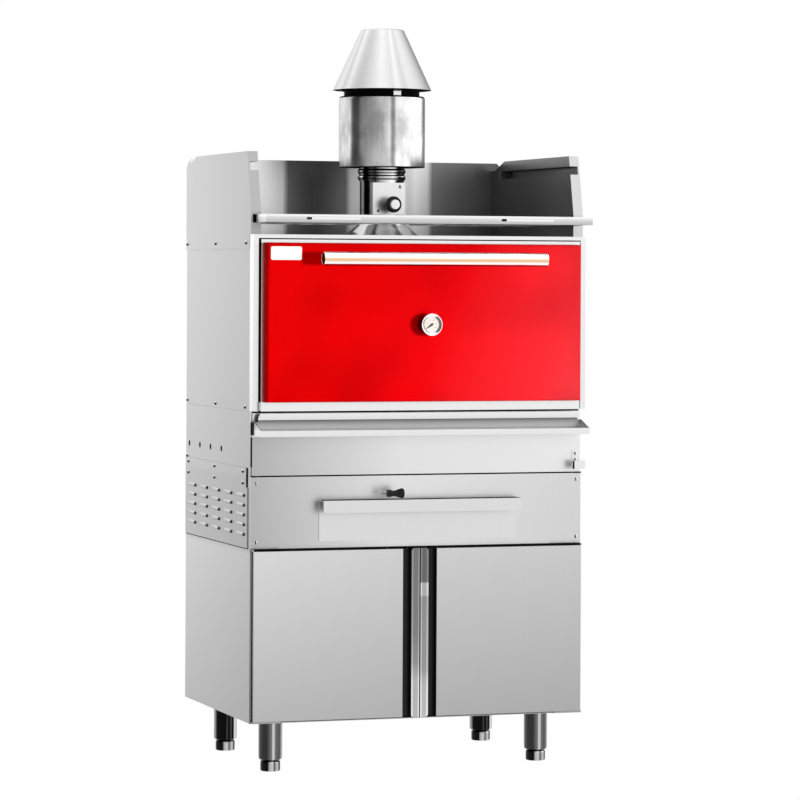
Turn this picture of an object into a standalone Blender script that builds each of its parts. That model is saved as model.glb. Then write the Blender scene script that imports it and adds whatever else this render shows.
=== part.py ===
"""Charcoal oven on a cabinet stand, as separate sheet-metal pieces.

Units are metres, +Z is up, the front of the oven faces -Y and X runs across it.
Every piece is drawn where it stands. A piece that moves hangs on an empty that
sits on the axis of its hinge or shaft, or on its slide.
"""

import math

import bmesh
import bpy
from mathutils import Matrix, Vector

# Sheet, play and the body's outer size
SHEET = 0.002             # stainless sheet of casings and panels
GAP = 0.0003              # play between pieces that touch
PLAY = 0.0008             # play beside a piece that turns or slides
OVERRUN = 0.010           # how far a cutter runs past the piece it cuts
BODY_WIDTH = 0.850
BODY_DEPTH = 0.590

# Heights of the stacked sections
LEG_BOTTOM = 0.027        # underside of the leg tubes above the floor
BASE_BOTTOM = 0.127       # underside of the cabinet above the floor
BASE_HEIGHT = 0.420
VENT_HEIGHT = 0.1735
FIREBOX_HEIGHT = 0.1565
OVEN_HEIGHT = 0.425
SURROUND_HEIGHT = 0.201   # guard round the top, above the deck

# Round pieces are faceted with these counts
SIDES_LARGE = 40
SIDES_MEDIUM = 24
SIDES_SMALL = 14
SIDES_NEEDLE = 8

# Legs and screw feet
LEG_RADIUS = 0.029
LEG_WALL = 0.002
LEG_IN = 0.080
LEG_Y = 0.200
LEG_CORNER = 0.006        # rounded lower edge of a leg
FOOT_RADIUS = 0.0245
FOOT_CORNER = 0.004       # slope at the foot's lower edge
FOOT_SHOULDER = 0.002     # slope at its upper edge
STEM_RADIUS = 0.008
STEM_LENGTH = 0.060       # stem above the top of the foot

# Cabinet doors
DOOR_FACE = 0.016         # front of the doors ahead of the body front
DOOR_BACK = 0.001
DOOR_OUTER_IN = 0.004
DOOR_INNER_X = 0.0437
DOOR_SHEET = 0.0015
CHANNEL_INNER_X = 0.0218
CHANNEL_OUTER_X = 0.0434
CHANNEL_WALL = 0.0015
CHANNEL_LIP = 0.0005      # channel edges behind the door face
STRIP_INNER_X = 0.0015
STRIP_OUTER_X = 0.0215
STRIP_PROUD = 0.0015      # strip face ahead of the door face
STRIP_LONGER = 0.0015     # strip past the door at each end
STRIP_CORNER = 0.005
CABINET_AXIS_IN = 0.008   # hinge axis from the door's edge
CABINET_PIN_RADIUS = 0.003
CABINET_PIN_LENGTH = 0.010
HINGE_PLATE = 0.0024
HINGE_PLATE_WIDTH = 0.070
HINGE_PLATE_DEPTH = 0.045
CATCH_RADIUS = 0.006
CATCH_HEIGHT = 0.0035
CATCH_LEFT_X = -0.075
CATCH_RIGHT_X = 0.052
CATCH_BACK = 0.012        # catch centre behind the body front

# Vent section
VENT_RETURN = 0.025       # front panel's fold back along the sides
VENT_WINDOW_IN = 0.178
VENT_WINDOW_BOTTOM = 0.0205
VENT_WINDOW_TOP = 0.108
VENT_SIDE_EDGE = 0.040    # casing left round each side window
VENT_SIDE_SILL = 0.012
LOUVRE_PLATE_TOP_UP = 0.0205
LOUVRE_PLATE_BACK_IN = 0.003
LOUVRE_STEP = 0.011       # upper front edge behind the lower one
LOUVRE_STEP_DOWN = 0.0265
LOUVRE_COUNT = 5
LOUVRE_PITCH_Y = 0.110
LOUVRE_PITCH_Z = 0.0235
LOUVRE_FIRST_Y = 0.0515   # front end of the first louvre behind the body front
LOUVRE_FIRST_UP = 0.0295
LOUVRE_MOUTH = 0.006
LOUVRE_LENGTH = 0.074
LOUVRE_HEIGHT = 0.009
LOUVRE_RISE = 0.0045
LOUVRE_TAIL = 0.0006      # rise left at the hood's back end

# Ash drawer
ASH_FRONT_IN = 0.171
ASH_FRONT_BOTTOM_UP = 0.016
ASH_FRONT_TOP_UP = 0.116
ASH_HANDLE_REACH = 0.040
ASH_HANDLE_LIP = 0.030
PAN_IN = 0.185
PAN_BOTTOM_UP = 0.025
PAN_TOP_UP = 0.093
PAN_LENGTH = 0.450
RAIL_LEDGE = 0.012        # rail flange under the pan
RAIL_TOP_UP = 0.073
RAIL_LENGTH = 0.470
RAIL_START = 0.030

# Air lever and its bell knob
LEVER_X = -0.090
LEVER_UP = 0.1325
LEVER_RADIUS = 0.004
LEVER_REACH = 0.054       # knob axis ahead of the body front
LEVER_TAIL = 0.010        # shaft behind the panel
LEVER_SHUTTER = 0.022
BELL_HUB_RADIUS = 0.0055
BELL_WIDE_RADIUS = 0.012
BELL_LENGTH = 0.039
BELL_HUB_LENGTH = 0.016
BELL_SOCKET = 0.008

# Firebox flap and its turn catch
FLAP_IN = 0.0025
FLAP_THICK = 0.006
FLAP_PROUD = 0.001
FLAP_LUG = 0.0022
FLAP_TOP_DOWN = 0.0615
FLAP_AXIS_IN = 0.004
FLAP_PIN_RADIUS = 0.0016
FLAP_PIN_LENGTH = 0.008
FLAP_HOLE_PLAY = 0.0004
FLAP_LUG_WIDTH = 0.014
FRONT_PLATE_BACK = 0.0082 # front plate's face behind the body front
CATCH_PLATE_IN = 0.016     # middle of the catch bracket
CATCH_PLATE_WIDTH = 0.016
CATCH_PLATE_TOP_UP = 0.0555
CATCH_STUD_UP = 0.021
CATCH_STUD_RADIUS = 0.005
CATCH_WING_LENGTH = 0.033
CATCH_WING_HEIGHT = 0.020
CATCH_WING_THICK = 0.004
CATCH_WING_REACH = 0.030

# Ledge tray under the oven door
TRAY_IN = 0.004
TRAY_BOTTOM_DOWN = 0.058
TRAY_REACH = 0.070
TRAY_LIP = 0.015
TRAY_BACK = 0.012
TRAY_SHOULDER_DOWN = 0.024
TRAY_TOP_DOWN = 0.004
TRAY_CORNER_IN = 0.023
TRAY_CORNER_DOWN = 0.015
TRAY_NECK_IN = 0.014

# Front plate and collar round the oven door
MOUTH_IN = 0.075
MOUTH_BOTTOM_UP = 0.048
MOUTH_TOP_DOWN = 0.052
FIRE_MOUTH_IN = 0.095
FIRE_MOUTH_BOTTOM_UP = 0.0275
FIRE_MOUTH_TOP_DOWN = 0.073
COLLAR_PROUD = 0.0025
COLLAR_REACH = 0.021
COLLAR_SIDE_BAND = 0.013
COLLAR_TOP_BAND = 0.009
COLLAR_BOTTOM_UP = 0.002
SEAL_IN = 0.039
SEAL_BOTTOM_UP = 0.025
SEAL_TOP_DOWN = 0.026
SEAL_WIDTH = 0.012

# Side sheets of the firebox and their four round holes
SIDE_HOLE_RADIUS = 0.007
SIDE_HOLE_COUNT = 4
SIDE_HOLE_PITCH = 0.099
SIDE_HOLE_FIRST_Y = 0.262 # first hole behind the body front
SIDE_HOLE_UP = 0.0565

# Chamber, insulation and grates
CHAMBER_IN = 0.073
CHAMBER_BOTTOM_UP = 0.0215
CHAMBER_TOP_DOWN = 0.050
CHAMBER_WALL = 0.003
CHAMBER_BACK_IN = 0.060   # chamber back ahead of the back panel
ASH_MOUTH_IN = 0.205
ASH_MOUTH_Y = 0.160
GRATE_RAIL = 0.022
GRATE_RAIL_WALL = 0.003
CHARCOAL_RAIL_UP = 0.0945
GRILL_RAIL_UP = 0.143
GRATE_THICK = 0.010
GRATE_RIM = 0.020
GRATE_BARS = 16
GRATE_BAR_SHARE = 0.40    # share of the pitch that is bar
GRATE_FRONT_IN = 0.025

# Oven door
PAN_DOOR_IN = 0.015
PAN_DOOR_FRONT = 0.028
PAN_DOOR_BACK = 0.004
PAN_DOOR_BOTTOM_UP = 0.002
PAN_DOOR_TOP_DOWN = 0.010
RED_IN = 0.022
RED_BOTTOM_UP = 0.024
RED_TOP_DOWN = 0.018
RED_FACE = 0.058
RED_EDGE = 0.006          # rounded edge of the red panel
RED_WALL = 0.003
DOOR_AXIS_REACH = 0.024
DOOR_AXIS_UP = 0.009
DOOR_PIN_RADIUS = 0.003
DOOR_PIN_LENGTH = 0.010
DOOR_LUG_TOP_UP = 0.024
DOOR_LUG_REACH = 0.031
HANDLE_DOWN = 0.056
HANDLE_IN = 0.140
HANDLE_RADIUS = 0.016
HANDLE_WALL = 0.002
HANDLE_REACH = 0.125
POST_IN = 0.225
POST_RADIUS = 0.008
POST_FOOT_RADIUS = 0.013
POST_FOOT_HEIGHT = 0.003
PLATE_LEFT_IN = 0.0295
PLATE_WIDTH = 0.0776
PLATE_BOTTOM_DOWN = 0.0595
PLATE_HEIGHT = 0.0326
PLATE_THICK = 0.0015
PLATE_CORNER = 0.004

# Door thermometer
DIAL_DOWN = 0.214
DIAL_FACE = 0.098
DIAL_RADIUS = 0.029
DIAL_CASE_DEPTH = 0.018
DIAL_RIM = 0.003
DIAL_RECESS = 0.006
DIAL_THICK = 0.001
DIAL_STEM_RADIUS = 0.007
DIAL_NUT_RADIUS = 0.012
DIAL_NUT_HEIGHT = 0.006
DIAL_HOLE_RADIUS = 0.0016
NEEDLE_RADIUS = 0.0012
NEEDLE_LENGTH = 0.020
NEEDLE_TAIL = 0.006
NEEDLE_WIDTH = 0.0014
NEEDLE_THICK = 0.0006
NEEDLE_HUB = 0.003
NEEDLE_ANGLE = math.radians(216)  # rest direction, counted from +X towards +Z
GLASS_THICK = 0.0012

# Guard round the top
SURROUND_PROUD = 0.003
SURROUND_OUTER_SHEET = 0.0022
SURROUND_THICK = 0.025
SURROUND_SKIRT_DOWN = 0.033
SURROUND_SET_BACK = 0.033
SURROUND_SLOPE_UP = 0.054
SURROUND_NOTCH_Y = 0.495  # where the side's top edge starts to fall, behind the body front
SURROUND_NOTCH_END = 0.565
SURROUND_NOTCH_DROP = 0.023
SURROUND_BACK_DROP = 0.003
SURROUND_CHAMFER = 0.009
GROOVE_LOWER_UP = 0.028
GROOVE_UPPER_UP = 0.155
GROOVE_HEIGHT = 0.0205
GROOVE_OUTER_IN = 0.0015
GROOVE_END_IN = 0.060
BACK_PLATE_X = 0.165
BACK_PLATE_HEIGHT = 0.158

# Pull-out top shelf
SHELF_RAIL_IN = 0.007
SHELF_REACH = 0.092
SHELF_RAIL_THICK = 0.003
SHELF_RAIL_HEIGHT = 0.0195
SHELF_ARM_THICK = 0.011
SHELF_ARM_LENGTH = 0.420
SHELF_DECK_THICK = 0.004
SHELF_BAY_X = 0.085
SHELF_BAY_START = 0.220   # bay's front edge behind the front rail
SHELF_WIRES = 14
SHELF_WIRE_SHARE = 0.16
SHELF_BAND = 0.012
GRIP_INNER_X = 0.180
GRIP_OUTER_X = 0.316
GRIP_HEIGHT = 0.006
GRIP_RISE = 0.007

# Chimney
PIPE_RADIUS = 0.055
PIPE_WALL = 0.0015
PIPE_TOP_UP = 0.168
FLUE_CONE_RADIUS = 0.098
FLUE_CONE_TOP_UP = 0.032
FLUE_CONE_COLLAR = 0.010
FLUE_CONE_FLANGE = 0.004
DAMPER_X = 0.0427
DAMPER_BOTTOM_UP = 0.0545
DAMPER_TOP_UP = 0.1345
DAMPER_REACH = 0.060      # box front ahead of the pipe's middle
DAMPER_DEPTH = 0.036
DAMPER_AXIS_UP = 0.0795
DAMPER_SHAFT_RADIUS = 0.004
DAMPER_DISC_RADIUS = 0.0500
DAMPER_DISC_THICK = 0.0025
DAMPER_KNOB_BACK = 0.066
DAMPER_KNOB_RADIUS = 0.0205
DAMPER_RING_FRONT = 0.094
DAMPER_CAP_RADIUS = 0.015
DAMPER_CAP_FRONT = 0.114
DAMPER_KNOB_EDGE = 0.003
ARRESTOR_RADIUS = 0.1083
ARRESTOR_BOTTOM_UP = 0.174
ARRESTOR_TOP_UP = 0.352
ARRESTOR_SHOULDER = 0.010
ARRESTOR_SHEET = 0.0015
ARRESTOR_COLLAR_BOTTOM_UP = 0.139
ARRESTOR_COLLAR_BULGE = 0.004
STRAP_COUNT = 3
STRAP_WIDTH = 0.020
STRAP_THICK = 0.0015
STRAP_BELOW = 0.036       # strap inside the arrestor
STRAP_ABOVE = 0.012       # strap upright above the arrestor
STRAP_TOP_UP = 0.398
STRAP_TURN = math.radians(35)
CAP_BOTTOM_UP = 0.368
CAP_TOP_UP = 0.520
CAP_BOTTOM_RADIUS = 0.124
CAP_TOP_RADIUS = 0.0535
CAP_SHEET = 0.0015

# Places worked out from the sizes above. The part is centred under its own box.
MIDDLE_Y = (HANDLE_REACH + HANDLE_RADIUS) / 2
FRONT = MIDDLE_Y - BODY_DEPTH / 2
BACK = MIDDLE_Y + BODY_DEPTH / 2
SIDE = BODY_WIDTH / 2
BASE_TOP = BASE_BOTTOM + BASE_HEIGHT
VENT_TOP = BASE_TOP + VENT_HEIGHT
FIREBOX_TOP = VENT_TOP + FIREBOX_HEIGHT
OVEN_TOP = FIREBOX_TOP + OVEN_HEIGHT
DECK_TOP = OVEN_TOP + SHEET
SURROUND_TOP = DECK_TOP + SURROUND_HEIGHT
PLATE_FACE = FRONT + FRONT_PLATE_BACK
# Half widths, each in from or proud of the body side
LEG_X = SIDE - LEG_IN
DOOR_OUTER_X = SIDE - DOOR_OUTER_IN
VENT_WINDOW_X = SIDE - VENT_WINDOW_IN
ASH_FRONT_X = SIDE - ASH_FRONT_IN
PAN_X = SIDE - PAN_IN
FLAP_X = SIDE - FLAP_IN
CATCH_PLATE_X = SIDE - CATCH_PLATE_IN
TRAY_X = SIDE - TRAY_IN
TRAY_CORNER_X = SIDE - TRAY_CORNER_IN
TRAY_NECK_X = SIDE - TRAY_NECK_IN
MOUTH_X = SIDE - MOUTH_IN
FIRE_MOUTH_X = SIDE - FIRE_MOUTH_IN
SEAL_X = SIDE - SEAL_IN
CHAMBER_X = SIDE - CHAMBER_IN
ASH_MOUTH_X = SIDE - ASH_MOUTH_IN
PAN_DOOR_X = SIDE - PAN_DOOR_IN
RED_X = SIDE - RED_IN
HANDLE_X = SIDE - HANDLE_IN
POST_X = SIDE - POST_IN
GROOVE_OUTER_X = SIDE - GROOVE_OUTER_IN
SHELF_RAIL_X = SIDE - SHELF_RAIL_IN
COLLAR_X = SIDE + COLLAR_PROUD
SURROUND_X = SIDE + SURROUND_PROUD
PLATE_LEFT_X = PLATE_LEFT_IN - SIDE
# Heights above the cabinet
LOUVRE_FIRST_Z = BASE_TOP + LOUVRE_FIRST_UP
ASH_FRONT_BOTTOM = BASE_TOP + ASH_FRONT_BOTTOM_UP
ASH_FRONT_TOP = BASE_TOP + ASH_FRONT_TOP_UP
PAN_BOTTOM = BASE_TOP + PAN_BOTTOM_UP
PAN_TOP = BASE_TOP + PAN_TOP_UP
RAIL_TOP = BASE_TOP + RAIL_TOP_UP
LEVER_Z = BASE_TOP + LEVER_UP
# Heights above or below the top of the vent section
LOUVRE_PLATE_TOP = VENT_TOP + LOUVRE_PLATE_TOP_UP
CATCH_PLATE_TOP = VENT_TOP + CATCH_PLATE_TOP_UP
CATCH_STUD_Z = VENT_TOP + CATCH_STUD_UP
FIRE_MOUTH_BOTTOM = VENT_TOP + FIRE_MOUTH_BOTTOM_UP
SIDE_HOLE_Z = VENT_TOP + SIDE_HOLE_UP
CHAMBER_BOTTOM = VENT_TOP + CHAMBER_BOTTOM_UP
CHARCOAL_RAIL_Z = VENT_TOP + CHARCOAL_RAIL_UP
LOUVRE_STEP_Z = VENT_TOP - LOUVRE_STEP_DOWN
# Heights above or below the top of the firebox
FLAP_TOP = FIREBOX_TOP - FLAP_TOP_DOWN
TRAY_BOTTOM = FIREBOX_TOP - TRAY_BOTTOM_DOWN
TRAY_SHOULDER = FIREBOX_TOP - TRAY_SHOULDER_DOWN
TRAY_TOP = FIREBOX_TOP - TRAY_TOP_DOWN
TRAY_CORNER_Z = FIREBOX_TOP - TRAY_CORNER_DOWN
FIRE_MOUTH_TOP = FIREBOX_TOP - FIRE_MOUTH_TOP_DOWN
MOUTH_BOTTOM = FIREBOX_TOP + MOUTH_BOTTOM_UP
COLLAR_BOTTOM = FIREBOX_TOP + COLLAR_BOTTOM_UP
SEAL_BOTTOM = FIREBOX_TOP + SEAL_BOTTOM_UP
GRILL_RAIL_Z = FIREBOX_TOP + GRILL_RAIL_UP
PAN_DOOR_BOTTOM = FIREBOX_TOP + PAN_DOOR_BOTTOM_UP
RED_BOTTOM = FIREBOX_TOP + RED_BOTTOM_UP
DOOR_AXIS_Z = FIREBOX_TOP + DOOR_AXIS_UP
DOOR_LUG_TOP = FIREBOX_TOP + DOOR_LUG_TOP_UP
# Heights below the top of the oven
MOUTH_TOP = OVEN_TOP - MOUTH_TOP_DOWN
SEAL_TOP = OVEN_TOP - SEAL_TOP_DOWN
CHAMBER_TOP = OVEN_TOP - CHAMBER_TOP_DOWN
PAN_DOOR_TOP = OVEN_TOP - PAN_DOOR_TOP_DOWN
RED_TOP = OVEN_TOP - RED_TOP_DOWN
HANDLE_Z = OVEN_TOP - HANDLE_DOWN
PLATE_BOTTOM = OVEN_TOP - PLATE_BOTTOM_DOWN
DIAL_Z = OVEN_TOP - DIAL_DOWN
SURROUND_SKIRT = OVEN_TOP - SURROUND_SKIRT_DOWN
# Heights above the deck
SURROUND_SLOPE_Z = DECK_TOP + SURROUND_SLOPE_UP
GROOVE_LOWER_Z = DECK_TOP + GROOVE_LOWER_UP
GROOVE_UPPER_Z = DECK_TOP + GROOVE_UPPER_UP
PIPE_TOP = DECK_TOP + PIPE_TOP_UP
FLUE_CONE_TOP = DECK_TOP + FLUE_CONE_TOP_UP
DAMPER_BOTTOM = DECK_TOP + DAMPER_BOTTOM_UP
DAMPER_TOP = DECK_TOP + DAMPER_TOP_UP
DAMPER_AXIS_Z = DECK_TOP + DAMPER_AXIS_UP
ARRESTOR_BOTTOM = DECK_TOP + ARRESTOR_BOTTOM_UP
ARRESTOR_TOP = DECK_TOP + ARRESTOR_TOP_UP
ARRESTOR_COLLAR_BOTTOM = DECK_TOP + ARRESTOR_COLLAR_BOTTOM_UP
STRAP_TOP = DECK_TOP + STRAP_TOP_UP
CAP_BOTTOM = DECK_TOP + CAP_BOTTOM_UP
CAP_TOP = DECK_TOP + CAP_TOP_UP
DOOR_BOTTOM = BASE_BOTTOM + SHEET + GAP + HINGE_PLATE + PLAY
DOOR_TOP = BASE_TOP - SHEET - GAP - HINGE_PLATE - PLAY
FLAP_BOTTOM = VENT_TOP + GAP + FLAP_LUG + GAP
CHAMBER_BACK = BACK - CHAMBER_BACK_IN

# Directions that a turned piece can be stood along
UPRIGHT = Matrix.Identity(4)
TO_FRONT = Matrix.Rotation(math.pi / 2, 4, "X")
TO_RIGHT = Matrix.Rotation(math.pi / 2, 4, "Y")
TO_LEFT = Matrix.Rotation(-math.pi / 2, 4, "Y")

# Colour, roughness and metallic value of each finish
FINISHES = {
    "stainless": ((0.55, 0.55, 0.54), 0.34, 1.0),
    "aluminium": ((0.72, 0.72, 0.72), 0.30, 1.0),
    "chrome": ((0.80, 0.80, 0.80), 0.12, 1.0),
    "red_enamel": ((0.60, 0.01, 0.012), 0.08, 0.0),
    "black_plastic": ((0.02, 0.02, 0.02), 0.40, 0.0),
    "cast_iron": ((0.06, 0.06, 0.06), 0.70, 1.0),
    "blanket": ((0.75, 0.74, 0.70), 0.90, 0.0),
    "seal": ((0.20, 0.20, 0.19), 0.85, 0.0),
    "white": ((0.85, 0.85, 0.84), 0.35, 0.0),
    "dial": ((0.80, 0.74, 0.58), 0.50, 0.0),
    "glass": ((0.90, 0.95, 0.95), 0.05, 0.0),
}


def clear_scene():
    """Remove whatever objects the scene holds."""
    for item in list(bpy.data.objects):
        bpy.data.objects.remove(item, do_unlink=True)


def make_material(name, finish):
    """Give one object a material of its own."""
    colour, roughness, metallic = FINISHES[finish]
    material = bpy.data.materials.new(name + "_" + finish)
    material.use_nodes = True
    shader = material.node_tree.nodes["Principled BSDF"]
    shader.inputs["Base Color"].default_value = (*colour, 1.0)
    shader.inputs["Roughness"].default_value = roughness
    shader.inputs["Metallic"].default_value = metallic
    return material


def make_pivot(name, place, parent=None):
    """Put an empty on the axis of a joint."""
    pivot = bpy.data.objects.new(name, None)
    bpy.context.scene.collection.objects.link(pivot)
    pivot.location = place
    if parent is not None:
        pivot.parent = parent
        pivot.location = Vector(place) - parent.location
    return pivot


def world_place(pivot):
    """The place of an empty in the part's own frame."""
    place = pivot.location.copy()
    if pivot.parent is not None:
        place += pivot.parent.location
    return place


def add_piece(name, shape, finish, pivot=None, smooth=False):
    """Turn a bmesh drawn in place into a named object."""
    bmesh.ops.recalc_face_normals(shape, faces=shape.faces)
    mesh = bpy.data.meshes.new(name)
    shape.to_mesh(mesh)
    shape.free()
    if smooth:
        mesh.shade_smooth()
        mesh.set_sharp_from_angle(angle=math.radians(35))
    piece = bpy.data.objects.new(name, mesh)
    bpy.context.scene.collection.objects.link(piece)
    if finish is not None:
        mesh.materials.append(make_material(name, finish))
    if pivot is not None:
        piece.parent = pivot
        piece.location = -world_place(pivot)
    return piece


def combine(piece, tool_shape, operation="DIFFERENCE"):
    """Cut a drawn shape out of a piece, or join it on, with a Boolean modifier."""
    count = len(piece.modifiers)
    tool = add_piece(f"{piece.name}_tool_{count}", tool_shape, None)
    tool.parent = piece.parent
    tool.location = piece.location
    tool.hide_render = True
    tool.display_type = "WIRE"
    modifier = piece.modifiers.new(f"tool_{count}", "BOOLEAN")
    modifier.operation = operation
    modifier.solver = "EXACT"
    modifier.object = tool


def block(shape, x_limits, y_limits, z_limits):
    """A box between three pairs of limits."""
    low = Vector((min(x_limits), min(y_limits), min(z_limits)))
    high = Vector((max(x_limits), max(y_limits), max(z_limits)))
    matrix = Matrix.Translation((low + high) / 2) @ Matrix.Diagonal((*(high - low), 1))
    bmesh.ops.create_cube(shape, size=1, matrix=matrix)
    return shape


def place_point(axis, along, first, second):
    """A point from its place along an axis and its two other coordinates."""
    point = [first, second]
    point.insert(axis, along)
    return tuple(point)


def prism(shape, axis, limits, outline):
    """Extrude an outline along an axis. Its points give the two other coordinates."""
    corners = [shape.verts.new(place_point(axis, limits[0], *point)) for point in outline]
    face = shape.faces.new(corners)
    made = bmesh.ops.extrude_face_region(shape, geom=[face])["geom"]
    moved = [item for item in made if isinstance(item, bmesh.types.BMVert)]
    step = place_point(axis, limits[1] - limits[0], 0, 0)
    bmesh.ops.translate(shape, verts=moved, vec=step)
    return shape


def turned(shape, profile, centre, direction=UPRIGHT, sides=SIDES_MEDIUM):
    """Spin (radius, height) points about an axis through the centre.

    A profile that starts on the axis stays open there and closes at its poles.
    Any other profile is closed back to its first point.
    """
    drawn = bmesh.new()
    points = [drawn.verts.new((radius, 0, height)) for radius, height in profile]
    edges = [drawn.edges.new(pair) for pair in zip(points, points[1:])]
    if profile[0][0] > 0:
        edges.append(drawn.edges.new((points[-1], points[0])))
    bmesh.ops.spin(drawn, geom=points + edges, cent=(0, 0, 0), axis=(0, 0, 1),
                   angle=math.tau, steps=sides, use_merge=True)
    bmesh.ops.remove_doubles(drawn, verts=drawn.verts, dist=GAP / 100)
    bmesh.ops.transform(drawn, verts=drawn.verts,
                        matrix=Matrix.Translation(centre) @ direction)
    mesh = bpy.data.meshes.new("drawn")
    drawn.to_mesh(mesh)
    drawn.free()
    shape.from_mesh(mesh)
    bpy.data.meshes.remove(mesh)
    return shape


def rod(shape, centre, radius, length, direction=UPRIGHT, sides=SIDES_SMALL):
    """A round bar that starts at the centre and runs along its direction."""
    profile = [(0, 0), (radius, 0), (radius, length), (0, length)]
    return turned(shape, profile, centre, direction, sides)


def panel(shape, axis, limits, first_limits, second_limits, windows=()):
    """A flat plate with rectangular windows, drawn as one closed grid of cells.

    Each window gives its limits along the plate's first and second direction.
    """
    firsts = sorted({*first_limits, *(edge for window in windows for edge in window[0])})
    seconds = sorted({*second_limits, *(edge for window in windows for edge in window[1])})
    firsts = [value for value in firsts if min(first_limits) <= value <= max(first_limits)]
    seconds = [value for value in seconds if min(second_limits) <= value <= max(second_limits)]
    corners = {}

    def is_solid(column, row):
        if not (0 <= column < len(firsts) - 1 and 0 <= row < len(seconds) - 1):
            return False
        first = (firsts[column] + firsts[column + 1]) / 2
        second = (seconds[row] + seconds[row + 1]) / 2
        return not any(min(wide) < first < max(wide) and min(high) < second < max(high)
                       for wide, high in windows)

    def corner(column, row, side):
        key = (column, row, side)
        if key not in corners:
            point = place_point(axis, limits[side], firsts[column], seconds[row])
            corners[key] = shape.verts.new(point)
        return corners[key]

    def face(*keys):
        shape.faces.new([corner(*key) for key in keys])

    for column in range(len(firsts) - 1):
        for row in range(len(seconds) - 1):
            if not is_solid(column, row):
                continue
            ring = [(column, row), (column + 1, row), (column + 1, row + 1), (column, row + 1)]
            face(*[(*place, 0) for place in ring])
            face(*[(*place, 1) for place in reversed(ring)])
            beside = [(column, row - 1), (column + 1, row), (column, row + 1), (column - 1, row)]
            for start, end, neighbour in zip(ring, ring[1:] + ring[:1], beside):
                if not is_solid(*neighbour):
                    face((*start, 0), (*start, 1), (*end, 1), (*end, 0))
    return shape


def both_sides(value):
    """Limits from one side of the middle to the other."""
    return (-value, value)


def make_base_cabinet():
    """Folded box of the stand, open towards the doors."""
    shape = block(bmesh.new(), both_sides(SIDE), (FRONT, BACK), (BASE_BOTTOM, BASE_TOP))
    cabinet = add_piece("base_cabinet", shape, "stainless")
    inner = block(bmesh.new(), both_sides(SIDE - SHEET), (FRONT - OVERRUN, BACK - SHEET),
                  (BASE_BOTTOM + SHEET, BASE_TOP - SHEET))
    combine(cabinet, inner)
    axis_x = DOOR_OUTER_X - CABINET_AXIS_IN
    axis_y = FRONT - (DOOR_FACE + DOOR_BACK) / 2
    reach = (axis_y - CABINET_PIN_RADIUS - SHEET, axis_y + HINGE_PLATE_DEPTH)
    wide = (SIDE - SHEET - HINGE_PLATE_WIDTH, SIDE - SHEET / 2)
    low, high = DOOR_BOTTOM - PLAY, DOOR_TOP + PLAY
    for side in (-1, 1):
        side_wide = (side * wide[0], side * wide[1])
        combine(cabinet, block(bmesh.new(), side_wide, reach, (BASE_BOTTOM + SHEET / 2, low)),
                "UNION")
        combine(cabinet, block(bmesh.new(), side_wide, reach, (high, BASE_TOP - SHEET / 2)),
                "UNION")
        for start in (low - SHEET / 2, high + SHEET / 2 - CABINET_PIN_LENGTH):
            pin = rod(bmesh.new(), (side * axis_x, axis_y, start), CABINET_PIN_RADIUS,
                      CABINET_PIN_LENGTH)
            combine(cabinet, pin, "UNION")
    for place_x in (CATCH_LEFT_X, CATCH_RIGHT_X):
        top = BASE_TOP - SHEET
        catch = rod(bmesh.new(), (place_x, FRONT + CATCH_BACK, top - CATCH_HEIGHT), CATCH_RADIUS,
                    CATCH_HEIGHT + SHEET / 2)
        combine(cabinet, catch, "UNION")


def make_legs():
    """Four leg tubes, closed below round the stems of the feet."""
    top = BASE_BOTTOM - GAP
    inside = LEG_RADIUS - LEG_WALL
    hole = STEM_RADIUS + PLAY
    profile = [(hole, LEG_BOTTOM), (LEG_RADIUS - LEG_CORNER, LEG_BOTTOM),
               (LEG_RADIUS, LEG_BOTTOM + LEG_CORNER), (LEG_RADIUS, top),
               (inside, top), (inside, LEG_BOTTOM + LEG_CORNER), (hole, LEG_BOTTOM + LEG_CORNER)]
    for corner_name, place in leg_places():
        shape = turned(bmesh.new(), profile, place)
        add_piece("leg_" + corner_name, shape, "stainless", smooth=True)


def leg_places():
    """Name and place of each corner where a leg stands."""
    for end, end_name in ((-1, "front"), (1, "back")):
        for side, side_name in ((-1, "left"), (1, "right")):
            yield f"{end_name}_{side_name}", (side * LEG_X, MIDDLE_Y + end * LEG_Y, 0)


def make_feet():
    """Screw feet. Each turns on its stem and comes down out of its leg."""
    top = LEG_BOTTOM - GAP
    profile = [(0, 0), (FOOT_RADIUS - FOOT_CORNER, 0), (FOOT_RADIUS, FOOT_CORNER),
               (FOOT_RADIUS, top - FOOT_SHOULDER), (FOOT_RADIUS - FOOT_SHOULDER, top),
               (STEM_RADIUS, top), (STEM_RADIUS, top + STEM_LENGTH), (0, top + STEM_LENGTH)]
    for corner_name, place in leg_places():
        name = "foot_" + corner_name
        shape = turned(bmesh.new(), profile, place)
        add_piece(name, shape, "chrome", make_pivot(name + "_screw", place), smooth=True)


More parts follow.
